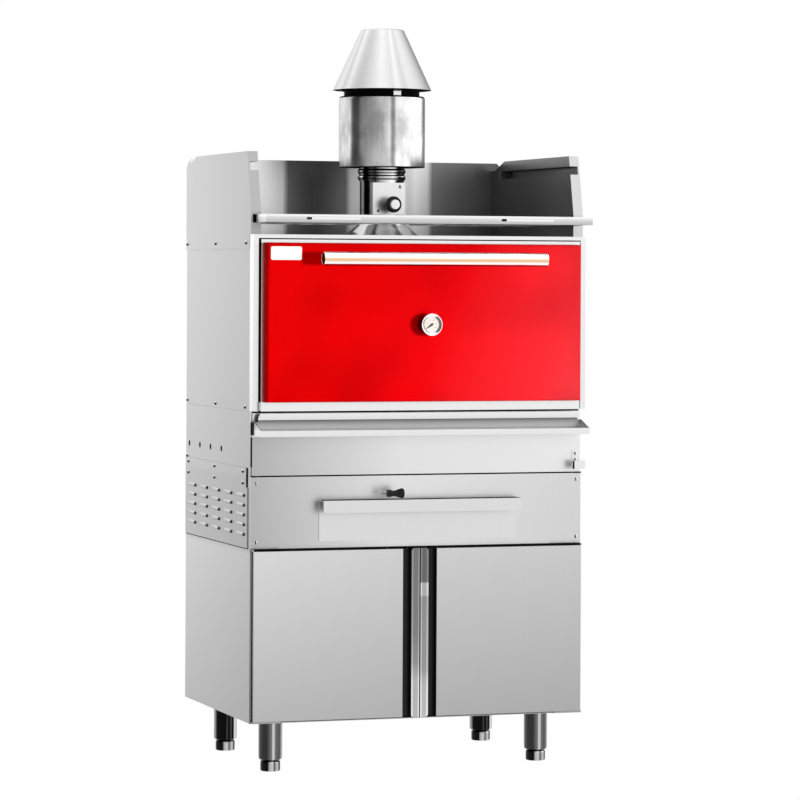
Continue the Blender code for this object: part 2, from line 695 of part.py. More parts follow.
def make_cabinet_door(side, side_name):
    """One folded door panel with its finger channel and grip strip, on its own hinge."""
    axis_x = side * (DOOR_OUTER_X - CABINET_AXIS_IN)
    axis_y = FRONT - (DOOR_FACE + DOOR_BACK) / 2
    pivot = make_pivot(f"cabinet_door_{side_name}_hinge", (axis_x, axis_y, DOOR_BOTTOM))
    face = FRONT - DOOR_FACE
    shape = block(bmesh.new(), (side * DOOR_INNER_X, side * DOOR_OUTER_X),
                  (face, FRONT - DOOR_BACK), (DOOR_BOTTOM, DOOR_TOP))
    door = add_piece(f"cabinet_door_{side_name}", shape, "stainless", pivot)
    inner = block(bmesh.new(),
                  (side * (DOOR_INNER_X + DOOR_SHEET), side * (DOOR_OUTER_X - DOOR_SHEET)),
                  (face + DOOR_SHEET, FRONT + OVERRUN),
                  (DOOR_BOTTOM + DOOR_SHEET, DOOR_TOP - DOOR_SHEET))
    combine(door, inner)
    pin_hole = rod(bmesh.new(), (axis_x, axis_y, DOOR_BOTTOM - OVERRUN),
                   CABINET_PIN_RADIUS + PLAY, DOOR_TOP - DOOR_BOTTOM + 2 * OVERRUN)
    combine(door, pin_hole)

    lip = face + CHANNEL_LIP
    back = FRONT - DOOR_BACK
    inside, outside = CHANNEL_INNER_X + CHANNEL_WALL, CHANNEL_OUTER_X - CHANNEL_WALL
    outline = [(CHANNEL_INNER_X, lip), (CHANNEL_INNER_X, back), (CHANNEL_OUTER_X, back),
               (CHANNEL_OUTER_X, lip), (outside, lip), (outside, back - CHANNEL_WALL),
               (inside, back - CHANNEL_WALL), (inside, lip)]
    outline = [(side * x, y) for x, y in outline]
    shape = prism(bmesh.new(), 2, (DOOR_BOTTOM, DOOR_TOP), outline)
    add_piece(f"grip_channel_{side_name}", shape, "black_plastic", pivot)

    low, high = DOOR_BOTTOM - STRIP_LONGER, DOOR_TOP + STRIP_LONGER
    corner = STRIP_OUTER_X - STRIP_CORNER
    outline = [(STRIP_INNER_X, low), (corner, low), (STRIP_OUTER_X, low + STRIP_CORNER),
               (STRIP_OUTER_X, high - STRIP_CORNER), (corner, high), (STRIP_INNER_X, high)]
    outline = [(side * x, z) for x, z in outline]
    shape = prism(bmesh.new(), 1, (face - STRIP_PROUD, FRONT - DOOR_BACK), outline)
    add_piece(f"grip_strip_{side_name}", shape, "aluminium", pivot)


def make_vent_casing():
    """Casing of the ash section, open at the top and front, with side windows."""
    bottom, top = BASE_TOP + GAP, VENT_TOP
    start = FRONT + VENT_RETURN + GAP
    shape = block(bmesh.new(), both_sides(SIDE), (start, BACK), (bottom, top))
    casing = add_piece("vent_casing", shape, "stainless")
    inner = block(bmesh.new(), both_sides(SIDE - SHEET), (start - OVERRUN, BACK - SHEET),
                  (bottom + SHEET, top + OVERRUN))
    combine(casing, inner)
    window = block(bmesh.new(), both_sides(SIDE + OVERRUN),
                   (start + VENT_SIDE_EDGE, BACK - VENT_SIDE_EDGE),
                   (bottom + VENT_SIDE_SILL, top - VENT_SIDE_EDGE))
    combine(casing, window)
    web = PAN_X + PLAY + SHEET
    ledge = PAN_BOTTOM - GAP
    floor = bottom + SHEET
    start_y = FRONT + RAIL_START
    for side in (-1, 1):
        outline = [(web, floor - SHEET / 2), (web, RAIL_TOP), (web - SHEET, RAIL_TOP),
                   (web - SHEET, ledge), (web - SHEET - RAIL_LEDGE, ledge),
                   (web - SHEET - RAIL_LEDGE, ledge - SHEET), (web - SHEET, ledge - SHEET),
                   (web - SHEET, floor - SHEET / 2)]
        outline = [(side * x, z) for x, z in outline]
        rail = prism(bmesh.new(), 1, (start_y, start_y + RAIL_LENGTH), outline)
        combine(casing, rail, "UNION")


def make_vent_front_panel():
    """Front panel with folded sides, a mouth for the ash drawer and the lever's hole."""
    bottom = BASE_TOP + GAP
    end = FRONT + VENT_RETURN
    shape = block(bmesh.new(), both_sides(SIDE), (FRONT, end), (bottom, VENT_TOP))
    front = add_piece("vent_front_panel", shape, "stainless")
    inner = block(bmesh.new(), both_sides(SIDE - SHEET), (FRONT + SHEET, end + OVERRUN),
                  (bottom - OVERRUN, VENT_TOP + OVERRUN))
    combine(front, inner)
    window = block(bmesh.new(), both_sides(VENT_WINDOW_X), (FRONT - OVERRUN, end),
                   (bottom + VENT_WINDOW_BOTTOM, bottom + VENT_WINDOW_TOP))
    combine(front, window)
    hole = rod(bmesh.new(), (LEVER_X, end, LEVER_Z), LEVER_RADIUS + PLAY,
               VENT_RETURN + OVERRUN, TO_FRONT)
    combine(front, hole)


def louvre_places():
    """Front end and lower edge of each louvre hood."""
    for column in range(LOUVRE_COUNT):
        for row in range(LOUVRE_COUNT):
            yield (FRONT + LOUVRE_FIRST_Y + column * LOUVRE_PITCH_Y,
                   LOUVRE_FIRST_Z + row * LOUVRE_PITCH_Z)


def make_louvre_plate(side, side_name):
    """Side plate with rows of pressed hoods, each open at its front end."""
    inner_x = SIDE + GAP
    outer_x = inner_x + SHEET
    front, back = FRONT + VENT_RETURN, BACK - LOUVRE_PLATE_BACK_IN
    bottom = BASE_TOP + GAP
    windows = [((y - LOUVRE_MOUTH, y), (z, z + LOUVRE_HEIGHT)) for y, z in louvre_places()]
    hood_ends = [((y + LOUVRE_LENGTH, y + LOUVRE_LENGTH), (z, z)) for y, z in louvre_places()]
    step = ((front - OVERRUN, front + LOUVRE_STEP), (LOUVRE_STEP_Z, LOUVRE_PLATE_TOP))
    shape = panel(bmesh.new(), 0, (side * inner_x, side * outer_x), (front, back),
                  (bottom, LOUVRE_PLATE_TOP), [step, *windows, *hood_ends])
    shape.faces.ensure_lookup_table()
    middles = [(y + LOUVRE_LENGTH / 2, z + LOUVRE_HEIGHT / 2) for y, z in louvre_places()]

    def is_hood(face):
        centre = face.calc_center_median()
        return (abs(abs(centre.x) - outer_x) < GAP
                and any(math.dist((centre.y, centre.z), middle) < GAP for middle in middles))

    for hood in [face for face in shape.faces if is_hood(face)]:
        made = bmesh.ops.extrude_discrete_faces(shape, faces=[hood])["faces"][0]
        start = min(vert.co.y for vert in made.verts)
        for vert in made.verts:
            rise = LOUVRE_RISE if vert.co.y < start + GAP else LOUVRE_TAIL
            vert.co.x += side * rise
    add_piece(f"louvre_plate_{side_name}", shape, "stainless")


def make_ash_drawer():
    """Drawer front folded into its handle, and the pan behind it."""
    place = (0, FRONT, ASH_FRONT_TOP)
    pivot = make_pivot("ash_drawer_slide", place)
    face = FRONT - GAP - SHEET
    reach = FRONT - ASH_HANDLE_REACH
    top = ASH_FRONT_TOP - SHEET
    outline = [(FRONT - GAP, ASH_FRONT_BOTTOM), (FRONT - GAP, ASH_FRONT_TOP),
               (reach, ASH_FRONT_TOP), (reach, ASH_FRONT_TOP - ASH_HANDLE_LIP),
               (reach + SHEET, ASH_FRONT_TOP - ASH_HANDLE_LIP), (reach + SHEET, top),
               (face, top), (face, ASH_FRONT_BOTTOM)]
    shape = prism(bmesh.new(), 0, both_sides(ASH_FRONT_X), outline)
    add_piece("ash_drawer_front", shape, "stainless", pivot)

    shape = block(bmesh.new(), both_sides(PAN_X), (FRONT, FRONT + PAN_LENGTH),
                  (PAN_BOTTOM, PAN_TOP))
    pan = add_piece("ash_pan", shape, "stainless", pivot)
    inner = block(bmesh.new(), both_sides(PAN_X - SHEET),
                  (FRONT + SHEET, FRONT + PAN_LENGTH - SHEET),
                  (PAN_BOTTOM + SHEET, PAN_TOP + OVERRUN))
    combine(pan, inner)


def make_grate(name, height):
    """Cast grate: a rim with bars between long slots."""
    half = CHAMBER_X - GAP - GRATE_RAIL_WALL
    front, back = PLATE_FACE + GRATE_FRONT_IN, CHAMBER_BACK - PLAY
    pitch = 2 * (half - GRATE_RIM) / GRATE_BARS
    slot = pitch * (1 - GRATE_BAR_SHARE)
    middle = (front + back) / 2
    windows = []
    for index in range(GRATE_BARS):
        centre = -half + GRATE_RIM + (index + 1 / 2) * pitch
        wide = (centre - slot / 2, centre + slot / 2)
        windows.append((wide, (front + GRATE_RIM, middle - GRATE_RIM / 2)))
        windows.append((wide, (middle + GRATE_RIM / 2, back - GRATE_RIM)))
    shape = panel(bmesh.new(), 2, (height, height + GRATE_THICK), both_sides(half),
                  (front, back), windows)
    add_piece(name, shape, "cast_iron")


def make_air_lever():
    """Shaft of the air shutter, and the bell knob that stands across its end."""
    place = (LEVER_X, FRONT, LEVER_Z)
    pivot = make_pivot("air_lever_axis", place)
    front = FRONT - LEVER_REACH - BELL_HUB_RADIUS
    start = FRONT + SHEET + LEVER_TAIL
    behind = FRONT + SHEET + PLAY - start
    profile = [(0, 0), (LEVER_RADIUS, 0), (LEVER_RADIUS, -behind - SHEET),
               (LEVER_SHUTTER, -behind - SHEET), (LEVER_SHUTTER, -behind),
               (LEVER_RADIUS, -behind), (LEVER_RADIUS, start - front), (0, start - front)]
    shape = turned(bmesh.new(), profile, (LEVER_X, start, LEVER_Z), TO_FRONT, SIDES_SMALL)
    add_piece("air_lever", shape, "stainless", pivot, smooth=True)

    hub = LEVER_RADIUS + GAP
    neck = BELL_HUB_LENGTH
    profile = [(0, hub), (BELL_HUB_RADIUS, hub), (BELL_HUB_RADIUS, neck),
               (BELL_WIDE_RADIUS, BELL_LENGTH - BELL_SOCKET), (BELL_WIDE_RADIUS, BELL_LENGTH),
               (0, BELL_LENGTH)]
    centre = (LEVER_X, FRONT - LEVER_REACH, LEVER_Z)
    shape = turned(bmesh.new(), profile, centre, TO_RIGHT)
    add_piece("air_lever_knob", shape, "black_plastic", pivot, smooth=True)


def make_firebox_flap():
    """Firebox flap on its two pins, with the bracket and the turn catch at its free end."""
    face = FRONT - FLAP_PROUD
    back = face + FLAP_THICK
    axis_x = -FLAP_X + FLAP_AXIS_IN
    axis_y = (face + back) / 2
    pivot = make_pivot("firebox_flap_hinge", (axis_x, axis_y, FLAP_BOTTOM))
    shape = block(bmesh.new(), both_sides(FLAP_X), (face, back), (FLAP_BOTTOM, FLAP_TOP))
    plate_face = face - SHEET
    half = CATCH_PLATE_WIDTH / 2
    wide = (CATCH_PLATE_X - half, CATCH_PLATE_X + half)
    flap = add_piece("firebox_flap", shape, "stainless", pivot)
    bracket = block(bmesh.new(), wide, (plate_face, face + SHEET),
                    (CATCH_STUD_Z - CATCH_STUD_RADIUS, CATCH_PLATE_TOP))
    combine(flap, bracket, "UNION")
    for height in (FLAP_BOTTOM - OVERRUN, FLAP_TOP - FLAP_PIN_LENGTH - PLAY):
        hole = rod(bmesh.new(), (axis_x, axis_y, height), FLAP_PIN_RADIUS + FLAP_HOLE_PLAY,
                   FLAP_PIN_LENGTH + PLAY + OVERRUN)
        combine(flap, hole)

    stud = (CATCH_PLATE_X, plate_face - GAP, CATCH_STUD_Z)
    turn = make_pivot("turn_catch_axis", stud, pivot)
    shape = rod(bmesh.new(), stud, CATCH_STUD_RADIUS,
                CATCH_WING_REACH - CATCH_WING_THICK, TO_FRONT)
    wing = add_piece("turn_catch", shape, "stainless", turn)
    end = FRONT - CATCH_WING_REACH
    bar = block(bmesh.new(),
                (CATCH_PLATE_X - CATCH_WING_LENGTH / 2, CATCH_PLATE_X + CATCH_WING_LENGTH / 2),
                (end, end + CATCH_WING_THICK + SHEET + PLAY),
                (CATCH_STUD_Z - CATCH_WING_HEIGHT / 2, CATCH_STUD_Z + CATCH_WING_HEIGHT / 2))
    combine(wing, bar, "UNION")


def make_ledge_tray():
    """Folded trough under the door, with its back band and sloping ends."""
    lip = FRONT - TRAY_REACH
    back = FRONT - TRAY_BACK
    floor = TRAY_BOTTOM + SHEET
    outline = [(lip, TRAY_BOTTOM), (lip, TRAY_BOTTOM + TRAY_LIP), (back, TRAY_SHOULDER),
               (back, TRAY_TOP), (back + SHEET, TRAY_TOP), (back + SHEET, floor),
               (PLATE_FACE - GAP, floor), (PLATE_FACE - GAP, TRAY_BOTTOM)]
    shape = prism(bmesh.new(), 0, both_sides(TRAY_X), outline)
    tray = add_piece("ledge_tray", shape, "stainless")
    top = TRAY_TOP + OVERRUN
    trough = block(bmesh.new(), both_sides(TRAY_X - SHEET), (lip + SHEET, back),
                   (floor, TRAY_SHOULDER + OVERRUN))
    combine(tray, trough)
    for side in (-1, 1):
        outline = [(TRAY_NECK_X, TRAY_SHOULDER), (TRAY_NECK_X, TRAY_CORNER_Z),
                   (TRAY_CORNER_X, top), (TRAY_X + OVERRUN, top),
                   (TRAY_X + OVERRUN, TRAY_SHOULDER)]
        outline = [(side * x, z) for x, z in outline]
        corner = prism(bmesh.new(), 1, (back - SHEET, back + SHEET + OVERRUN), outline)
        combine(tray, corner)


def make_door_frame():
    """Front plate with the oven's and the firebox's mouths, and the collar before it."""
    windows = [(both_sides(MOUTH_X), (MOUTH_BOTTOM, MOUTH_TOP)),
               (both_sides(FIRE_MOUTH_X), (FIRE_MOUTH_BOTTOM, FIRE_MOUTH_TOP))]
    shape = panel(bmesh.new(), 1, (PLATE_FACE, PLATE_FACE + SHEET), both_sides(SIDE),
                  (VENT_TOP + GAP, DECK_TOP), windows)
    face = FRONT - COLLAR_REACH
    band = (face, face + SHEET)
    inner_x, inner_top = COLLAR_X - COLLAR_SIDE_BAND, DECK_TOP - COLLAR_TOP_BAND
    outline = [(-COLLAR_X, COLLAR_BOTTOM), (-COLLAR_X, DECK_TOP), (COLLAR_X, DECK_TOP),
               (COLLAR_X, COLLAR_BOTTOM), (inner_x, COLLAR_BOTTOM), (inner_x, inner_top),
               (-inner_x, inner_top), (-inner_x, COLLAR_BOTTOM)]
    frame = add_piece("door_frame", shape, "stainless")
    collar = prism(bmesh.new(), 1, (face, PLATE_FACE + SHEET / 2), outline)
    combine(frame, collar, "UNION")
    wall_x, wall_top = COLLAR_X - SHEET, DECK_TOP - SHEET
    outline = [(-wall_x, COLLAR_BOTTOM - OVERRUN), (-wall_x, wall_top), (wall_x, wall_top),
               (wall_x, COLLAR_BOTTOM - OVERRUN)]
    hollow = prism(bmesh.new(), 1, (band[1], PLATE_FACE), outline)
    combine(frame, hollow)
    axis_x = -FLAP_X + FLAP_AXIS_IN
    axis_y = FRONT - FLAP_PROUD + FLAP_THICK / 2
    wide = (-FLAP_X, -FLAP_X + FLAP_LUG_WIDTH)
    reach = (axis_y - FLAP_PIN_RADIUS - SHEET / 2, PLATE_FACE + SHEET / 2)
    pin_length = FLAP_PIN_LENGTH - PLAY + FLAP_LUG / 2
    low, high = FLAP_BOTTOM - GAP - FLAP_LUG, FLAP_TOP + GAP
    for height, pin_start in ((low, low + FLAP_LUG / 2), (high, high + FLAP_LUG / 2 - pin_length)):
        lug = block(bmesh.new(), wide, reach, (height, height + FLAP_LUG))
        combine(frame, lug, "UNION")
        pin = rod(bmesh.new(), (axis_x, axis_y, pin_start), FLAP_PIN_RADIUS, pin_length)
        combine(frame, pin, "UNION")


def make_door_seal():
    """Rope seal round the oven mouth, drawn as a square ring."""
    inner_x = SEAL_X - SEAL_WIDTH
    window = (both_sides(inner_x), (SEAL_BOTTOM + SEAL_WIDTH, SEAL_TOP - SEAL_WIDTH))
    shape = panel(bmesh.new(), 1, (FRONT - PAN_DOOR_BACK + GAP, PLATE_FACE - GAP),
                  both_sides(SEAL_X), (SEAL_BOTTOM, SEAL_TOP), [window])
    add_piece("door_seal", shape, "seal")


def make_side_sheets(side, side_name):
    """Outer sheets of one side: the firebox's with round holes, and the oven's above it."""
    wide = (side * (SIDE - SHEET), side * SIDE)
    front, back = PLATE_FACE + SHEET + GAP, BACK - SHEET - GAP
    shape = block(bmesh.new(), wide, (front, back), (VENT_TOP + GAP, FIREBOX_TOP))
    sheet = add_piece(f"firebox_side_{side_name}", shape, "stainless")
    holes = bmesh.new()
    for index in range(SIDE_HOLE_COUNT):
        hole_y = FRONT + SIDE_HOLE_FIRST_Y + index * SIDE_HOLE_PITCH
        rod(holes, (side * SIDE - OVERRUN, hole_y, SIDE_HOLE_Z), SIDE_HOLE_RADIUS,
            2 * OVERRUN, TO_RIGHT)
    combine(sheet, holes)
    shape = block(bmesh.new(), wide, (front, back), (FIREBOX_TOP + GAP, OVEN_TOP - GAP))
    add_piece(f"oven_side_{side_name}", shape, "stainless")


def make_back_panel():
    """Back sheet of the firebox and oven."""
    shape = block(bmesh.new(), both_sides(SIDE), (BACK - SHEET, BACK),
                  (VENT_TOP + GAP, OVEN_TOP - GAP))
    add_piece("back_panel", shape, "stainless")


def make_chamber():
    """Inner steel box, open to the front plate, and the blanket wrapped round it."""
    front = PLATE_FACE + SHEET + GAP
    outer_x = CHAMBER_X + CHAMBER_WALL
    outer_back = CHAMBER_BACK + CHAMBER_WALL
    low, high = CHAMBER_BOTTOM - CHAMBER_WALL, CHAMBER_TOP + CHAMBER_WALL
    shape = block(bmesh.new(), both_sides(outer_x), (front, outer_back), (low, high))
    liner = add_piece("chamber_liner", shape, "stainless")
    inner = block(bmesh.new(), both_sides(CHAMBER_X), (front - OVERRUN, CHAMBER_BACK),
                  (CHAMBER_BOTTOM, CHAMBER_TOP))
    combine(liner, inner)

    def openings(play):
        holes = block(bmesh.new(), both_sides(ASH_MOUTH_X),
                      (MIDDLE_Y - ASH_MOUTH_Y, MIDDLE_Y + ASH_MOUTH_Y),
                      (VENT_TOP - OVERRUN, CHAMBER_BOTTOM + OVERRUN))
        return rod(holes, (0, MIDDLE_Y, CHAMBER_TOP - OVERRUN), PIPE_RADIUS + play,
                   OVEN_TOP - CHAMBER_TOP + 2 * OVERRUN, sides=SIDES_LARGE)

    combine(liner, openings(PLAY))
    wall = CHAMBER_X + CHAMBER_WALL / 2
    inner_wall = CHAMBER_X - GRATE_RAIL_WALL
    for side in (-1, 1):
        for height in (CHARCOAL_RAIL_Z, GRILL_RAIL_Z):
            top = height - GAP
            under = top - GRATE_RAIL_WALL
            outline = [(wall, top), (CHAMBER_X - GRATE_RAIL, top), (CHAMBER_X - GRATE_RAIL, under),
                       (inner_wall, under), (inner_wall, top - GRATE_RAIL),
                       (wall, top - GRATE_RAIL)]
            outline = [(side * x, z) for x, z in outline]
            rail = prism(bmesh.new(), 1, (PLATE_FACE + GRATE_FRONT_IN, CHAMBER_BACK - PLAY),
                         outline)
            combine(liner, rail, "UNION")
    shape = block(bmesh.new(), both_sides(SIDE - SHEET - GAP), (front, BACK - SHEET - GAP),
                  (VENT_TOP + GAP, OVEN_TOP - GAP))
    blanket = add_piece("insulation_blanket", shape, "blanket")
    inner = block(bmesh.new(), both_sides(outer_x + GAP), (front - OVERRUN, outer_back + GAP),
                  (low - GAP, high + GAP))
    combine(blanket, inner)
    combine(blanket, openings(PLAY))


def make_oven_door():
    """Oven door: pan, insulation, red panel, handle, thermometer and plain plate."""
    place = (0, FRONT - DOOR_AXIS_REACH, DOOR_AXIS_Z)
    pivot = make_pivot("oven_door_hinge", place)
    front, back = FRONT - PAN_DOOR_FRONT, FRONT - PAN_DOOR_BACK
    shape = block(bmesh.new(), both_sides(PAN_DOOR_X), (front, back),
                  (PAN_DOOR_BOTTOM, PAN_DOOR_TOP))
    pan = add_piece("door_pan", shape, "stainless", pivot)
    for side in (-1, 1):
        start = side * PAN_DOOR_X - DOOR_PIN_LENGTH
        hole = rod(bmesh.new(), (start, place[1], DOOR_AXIS_Z), DOOR_PIN_RADIUS + PLAY,
                   2 * DOOR_PIN_LENGTH, TO_RIGHT)
        combine(pan, hole)
    inner_x = both_sides(RED_X - RED_WALL)
    inner_z = (RED_BOTTOM + RED_WALL, RED_TOP - RED_WALL)
    combine(pan, block(bmesh.new(), inner_x, (front - OVERRUN, back - SHEET), inner_z))

    face = FRONT - RED_FACE
    shape = block(bmesh.new(), both_sides(RED_X), (face, front - GAP), (RED_BOTTOM, RED_TOP))
    edges = [edge for edge in shape.edges
             if all(abs(vert.co.y - face) < GAP for vert in edge.verts)]
    bmesh.ops.bevel(shape, geom=edges, offset=RED_EDGE, segments=2, profile=1 / 2,
                    affect="EDGES")
    red = add_piece("door_red_panel", shape, "red_enamel", pivot)
    combine(red, block(bmesh.new(), inner_x, (face + RED_WALL, front + OVERRUN), inner_z))
    shape = block(bmesh.new(), both_sides(RED_X - RED_WALL - GAP),
                  (face + RED_WALL + GAP, back - SHEET - GAP),
                  (inner_z[0] + GAP, inner_z[1] - GAP))
    add_piece("door_insulation", shape, "blanket", pivot)

    outer, bore = HANDLE_RADIUS, HANDLE_RADIUS - HANDLE_WALL
    length = 2 * HANDLE_X
    profile = [(bore, 0), (outer, 0), (outer, length), (bore, length)]
    centre = (-HANDLE_X, FRONT - HANDLE_REACH, HANDLE_Z)
    shape = turned(bmesh.new(), profile, centre, TO_RIGHT)
    handle = add_piece("handle_tube", shape, "stainless", pivot, smooth=True)
    start = face - GAP
    length = HANDLE_REACH - HANDLE_RADIUS - RED_FACE + HANDLE_WALL / 2
    profile = [(0, 0), (POST_FOOT_RADIUS, 0), (POST_FOOT_RADIUS, POST_FOOT_HEIGHT),
               (POST_RADIUS, POST_FOOT_HEIGHT), (POST_RADIUS, length), (0, length)]
    for side in (-1, 1):
        post = turned(bmesh.new(), profile, (side * POST_X, start, HANDLE_Z), TO_FRONT,
                      SIDES_SMALL)
        combine(handle, post, "UNION")

    left, right = PLATE_LEFT_X, PLATE_LEFT_X + PLATE_WIDTH
    low, high = PLATE_BOTTOM, PLATE_BOTTOM + PLATE_HEIGHT
    corner = PLATE_CORNER
    outline = [(left + corner, low), (right - corner, low), (right, low + corner),
               (right, high - corner), (right - corner, high), (left + corner, high),
               (left, high - corner), (left, low + corner)]
    shape = prism(bmesh.new(), 1, (start - PLATE_THICK, start), outline)
    add_piece("blank_plate", shape, "white", pivot)
    make_thermometer(pivot, start)


def make_thermometer(pivot, start):
    """Dial thermometer on its stem: case, dial, glass, and the needle on its spindle."""
    total = FRONT - DIAL_FACE
    depth = start - total
    body = depth - DIAL_CASE_DEPTH
    bore = DIAL_RADIUS - DIAL_RIM
    floor = depth - DIAL_RECESS
    profile = [(0, 0), (DIAL_NUT_RADIUS, 0), (DIAL_NUT_RADIUS, DIAL_NUT_HEIGHT),
               (DIAL_STEM_RADIUS, DIAL_NUT_HEIGHT), (DIAL_STEM_RADIUS, body),
               (DIAL_RADIUS - DIAL_RIM, body), (DIAL_RADIUS, body + DIAL_RIM),
               (DIAL_RADIUS, depth - DIAL_RIM / 2), (DIAL_RADIUS - DIAL_RIM / 2, depth),
               (bore, depth), (bore, floor), (0, floor)]
    centre = (0, start, DIAL_Z)
    shape = turned(bmesh.new(), profile, centre, TO_FRONT)
    add_piece("thermometer_case", shape, "stainless", pivot, smooth=True)

    dial_back = floor + GAP
    profile = [(DIAL_HOLE_RADIUS, dial_back), (bore - GAP, dial_back),
               (bore - GAP, dial_back + DIAL_THICK), (DIAL_HOLE_RADIUS, dial_back + DIAL_THICK)]
    shape = turned(bmesh.new(), profile, centre, TO_FRONT)
    add_piece("thermometer_dial", shape, "dial", pivot, smooth=True)
    glass_back = depth - GLASS_THICK - GAP
    profile = [(0, glass_back), (bore - GAP, glass_back), (bore - GAP, depth - GAP),
               (0, depth - GAP)]
    shape = turned(bmesh.new(), profile, centre, TO_FRONT)
    add_piece("thermometer_glass", shape, "glass", pivot, smooth=True)

    needle_y = start - dial_back
    spin = make_pivot("thermometer_needle_axis", (0, needle_y, DIAL_Z), pivot)
    blade = DIAL_THICK + GAP
    length = blade + 2 * NEEDLE_THICK
    shape = rod(bmesh.new(), (0, needle_y, DIAL_Z), NEEDLE_RADIUS, length, TO_FRONT,
                SIDES_NEEDLE)
    needle = add_piece("thermometer_needle", shape, "black_plastic", spin)
    along = Vector((math.cos(NEEDLE_ANGLE), math.sin(NEEDLE_ANGLE)))
    across = Vector((-along.y, along.x))
    tip, tail = along * NEEDLE_LENGTH, -along * NEEDLE_TAIL
    half = NEEDLE_WIDTH / 2
    outline = [tip + across * half / 3, tip - across * half / 3,
               -across * NEEDLE_HUB, tail - across * half, tail + across * half,
               across * NEEDLE_HUB]
    outline = [(point.x, DIAL_Z + point.y) for point in outline]
    blade_back = needle_y - blade
    plate = prism(bmesh.new(), 1, (blade_back - NEEDLE_THICK, blade_back), outline)
    combine(needle, plate, "UNION")


def make_door_hinge(side, side_name):
    """Lug beside the oven door's lower corner, with the pin that the door turns on."""
    wide = (side * (PAN_DOOR_X + PLAY), side * (COLLAR_X - COLLAR_SIDE_BAND - GAP))
    shape = block(bmesh.new(), wide, (FRONT - DOOR_LUG_REACH, PLATE_FACE - GAP),
                  (DOOR_AXIS_Z - DOOR_PIN_RADIUS - SHEET, DOOR_LUG_TOP))
    lug = add_piece(f"door_hinge_{side_name}", shape, "stainless")
    start = (side * (PAN_DOOR_X + PLAY + SHEET / 2), FRONT - DOOR_AXIS_REACH, DOOR_AXIS_Z)
    pin = rod(bmesh.new(), start, DOOR_PIN_RADIUS, DOOR_PIN_LENGTH,
              TO_LEFT if side > 0 else TO_RIGHT)
    combine(lug, pin, "UNION")


def make_deck():
    """Top sheet with the flue's hole."""
    shape = block(bmesh.new(), both_sides(SIDE), (PLATE_FACE + SHEET + GAP, BACK),
                  (OVEN_TOP, DECK_TOP))
    deck = add_piece("deck", shape, "stainless")
    hole = rod(bmesh.new(), (0, MIDDLE_Y, OVEN_TOP - OVERRUN), PIPE_RADIUS + PLAY,
               SHEET + 2 * OVERRUN, sides=SIDES_LARGE)
    combine(deck, hole)


def make_surround_side(side, side_name):
    """Folded side of the guard, with two grooves that a shelf can slide in."""
    outer_x = SURROUND_X
    inner_x = SURROUND_X - SURROUND_THICK
    back = BACK - SHEET - GAP
    notch = FRONT + SURROUND_NOTCH_Y
    notch_end = FRONT + SURROUND_NOTCH_END
    fallen = SURROUND_TOP - SURROUND_NOTCH_DROP

    def outline(inset, low):
        return [(FRONT + inset, low), (FRONT + inset, SURROUND_SLOPE_Z),
                (FRONT + SURROUND_SET_BACK + inset, SURROUND_TOP - inset),
                (notch, SURROUND_TOP - inset), (notch_end, fallen - inset),
                (back - inset, fallen - inset), (back - inset, low)]

    shape = prism(bmesh.new(), 0, (side * inner_x, side * outer_x), outline(0, SURROUND_SKIRT))
    guard = add_piece(f"surround_{side_name}", shape, "stainless")
    hollow = (side * (inner_x + SHEET), side * (outer_x - SURROUND_OUTER_SHEET))
    combine(guard, prism(bmesh.new(), 0, hollow, outline(SHEET, SURROUND_SKIRT - OVERRUN)))
    body = block(bmesh.new(), (0, side * (SIDE + GAP)), (FRONT - OVERRUN, BACK + OVERRUN),
                 (SURROUND_SKIRT - OVERRUN, DECK_TOP + GAP))
    combine(guard, body)
    collar = block(bmesh.new(), (0, side * (outer_x + OVERRUN)),
                   (FRONT - OVERRUN, PLATE_FACE + SHEET + GAP),
                   (SURROUND_SKIRT - OVERRUN, DECK_TOP + GAP))
    combine(guard, collar)
    for height in (GROOVE_LOWER_Z, GROOVE_UPPER_Z):
        groove = block(bmesh.new(), (side * (inner_x - OVERRUN), side * GROOVE_OUTER_X),
                       (FRONT - OVERRUN, back - GROOVE_END_IN), (height, height + GROOVE_HEIGHT))
        combine(guard, groove)


def make_surround_back():
    """Back of the guard and the lower plate screwed to it."""
    top = SURROUND_TOP - SURROUND_BACK_DROP
    low = DECK_TOP + GAP
    outline = [(-SIDE, low), (-SIDE, top - SURROUND_CHAMFER), (-SIDE + SURROUND_CHAMFER, top),
               (SIDE - SURROUND_CHAMFER, top), (SIDE, top - SURROUND_CHAMFER), (SIDE, low)]
    shape = prism(bmesh.new(), 1, (BACK - SHEET, BACK), outline)
    guard = add_piece("surround_back", shape, "stainless")
    lower = block(bmesh.new(), both_sides(BACK_PLATE_X), (BACK - 2 * SHEET, BACK - SHEET / 2),
                  (low, low + BACK_PLATE_HEIGHT))
    combine(guard, lower, "UNION")


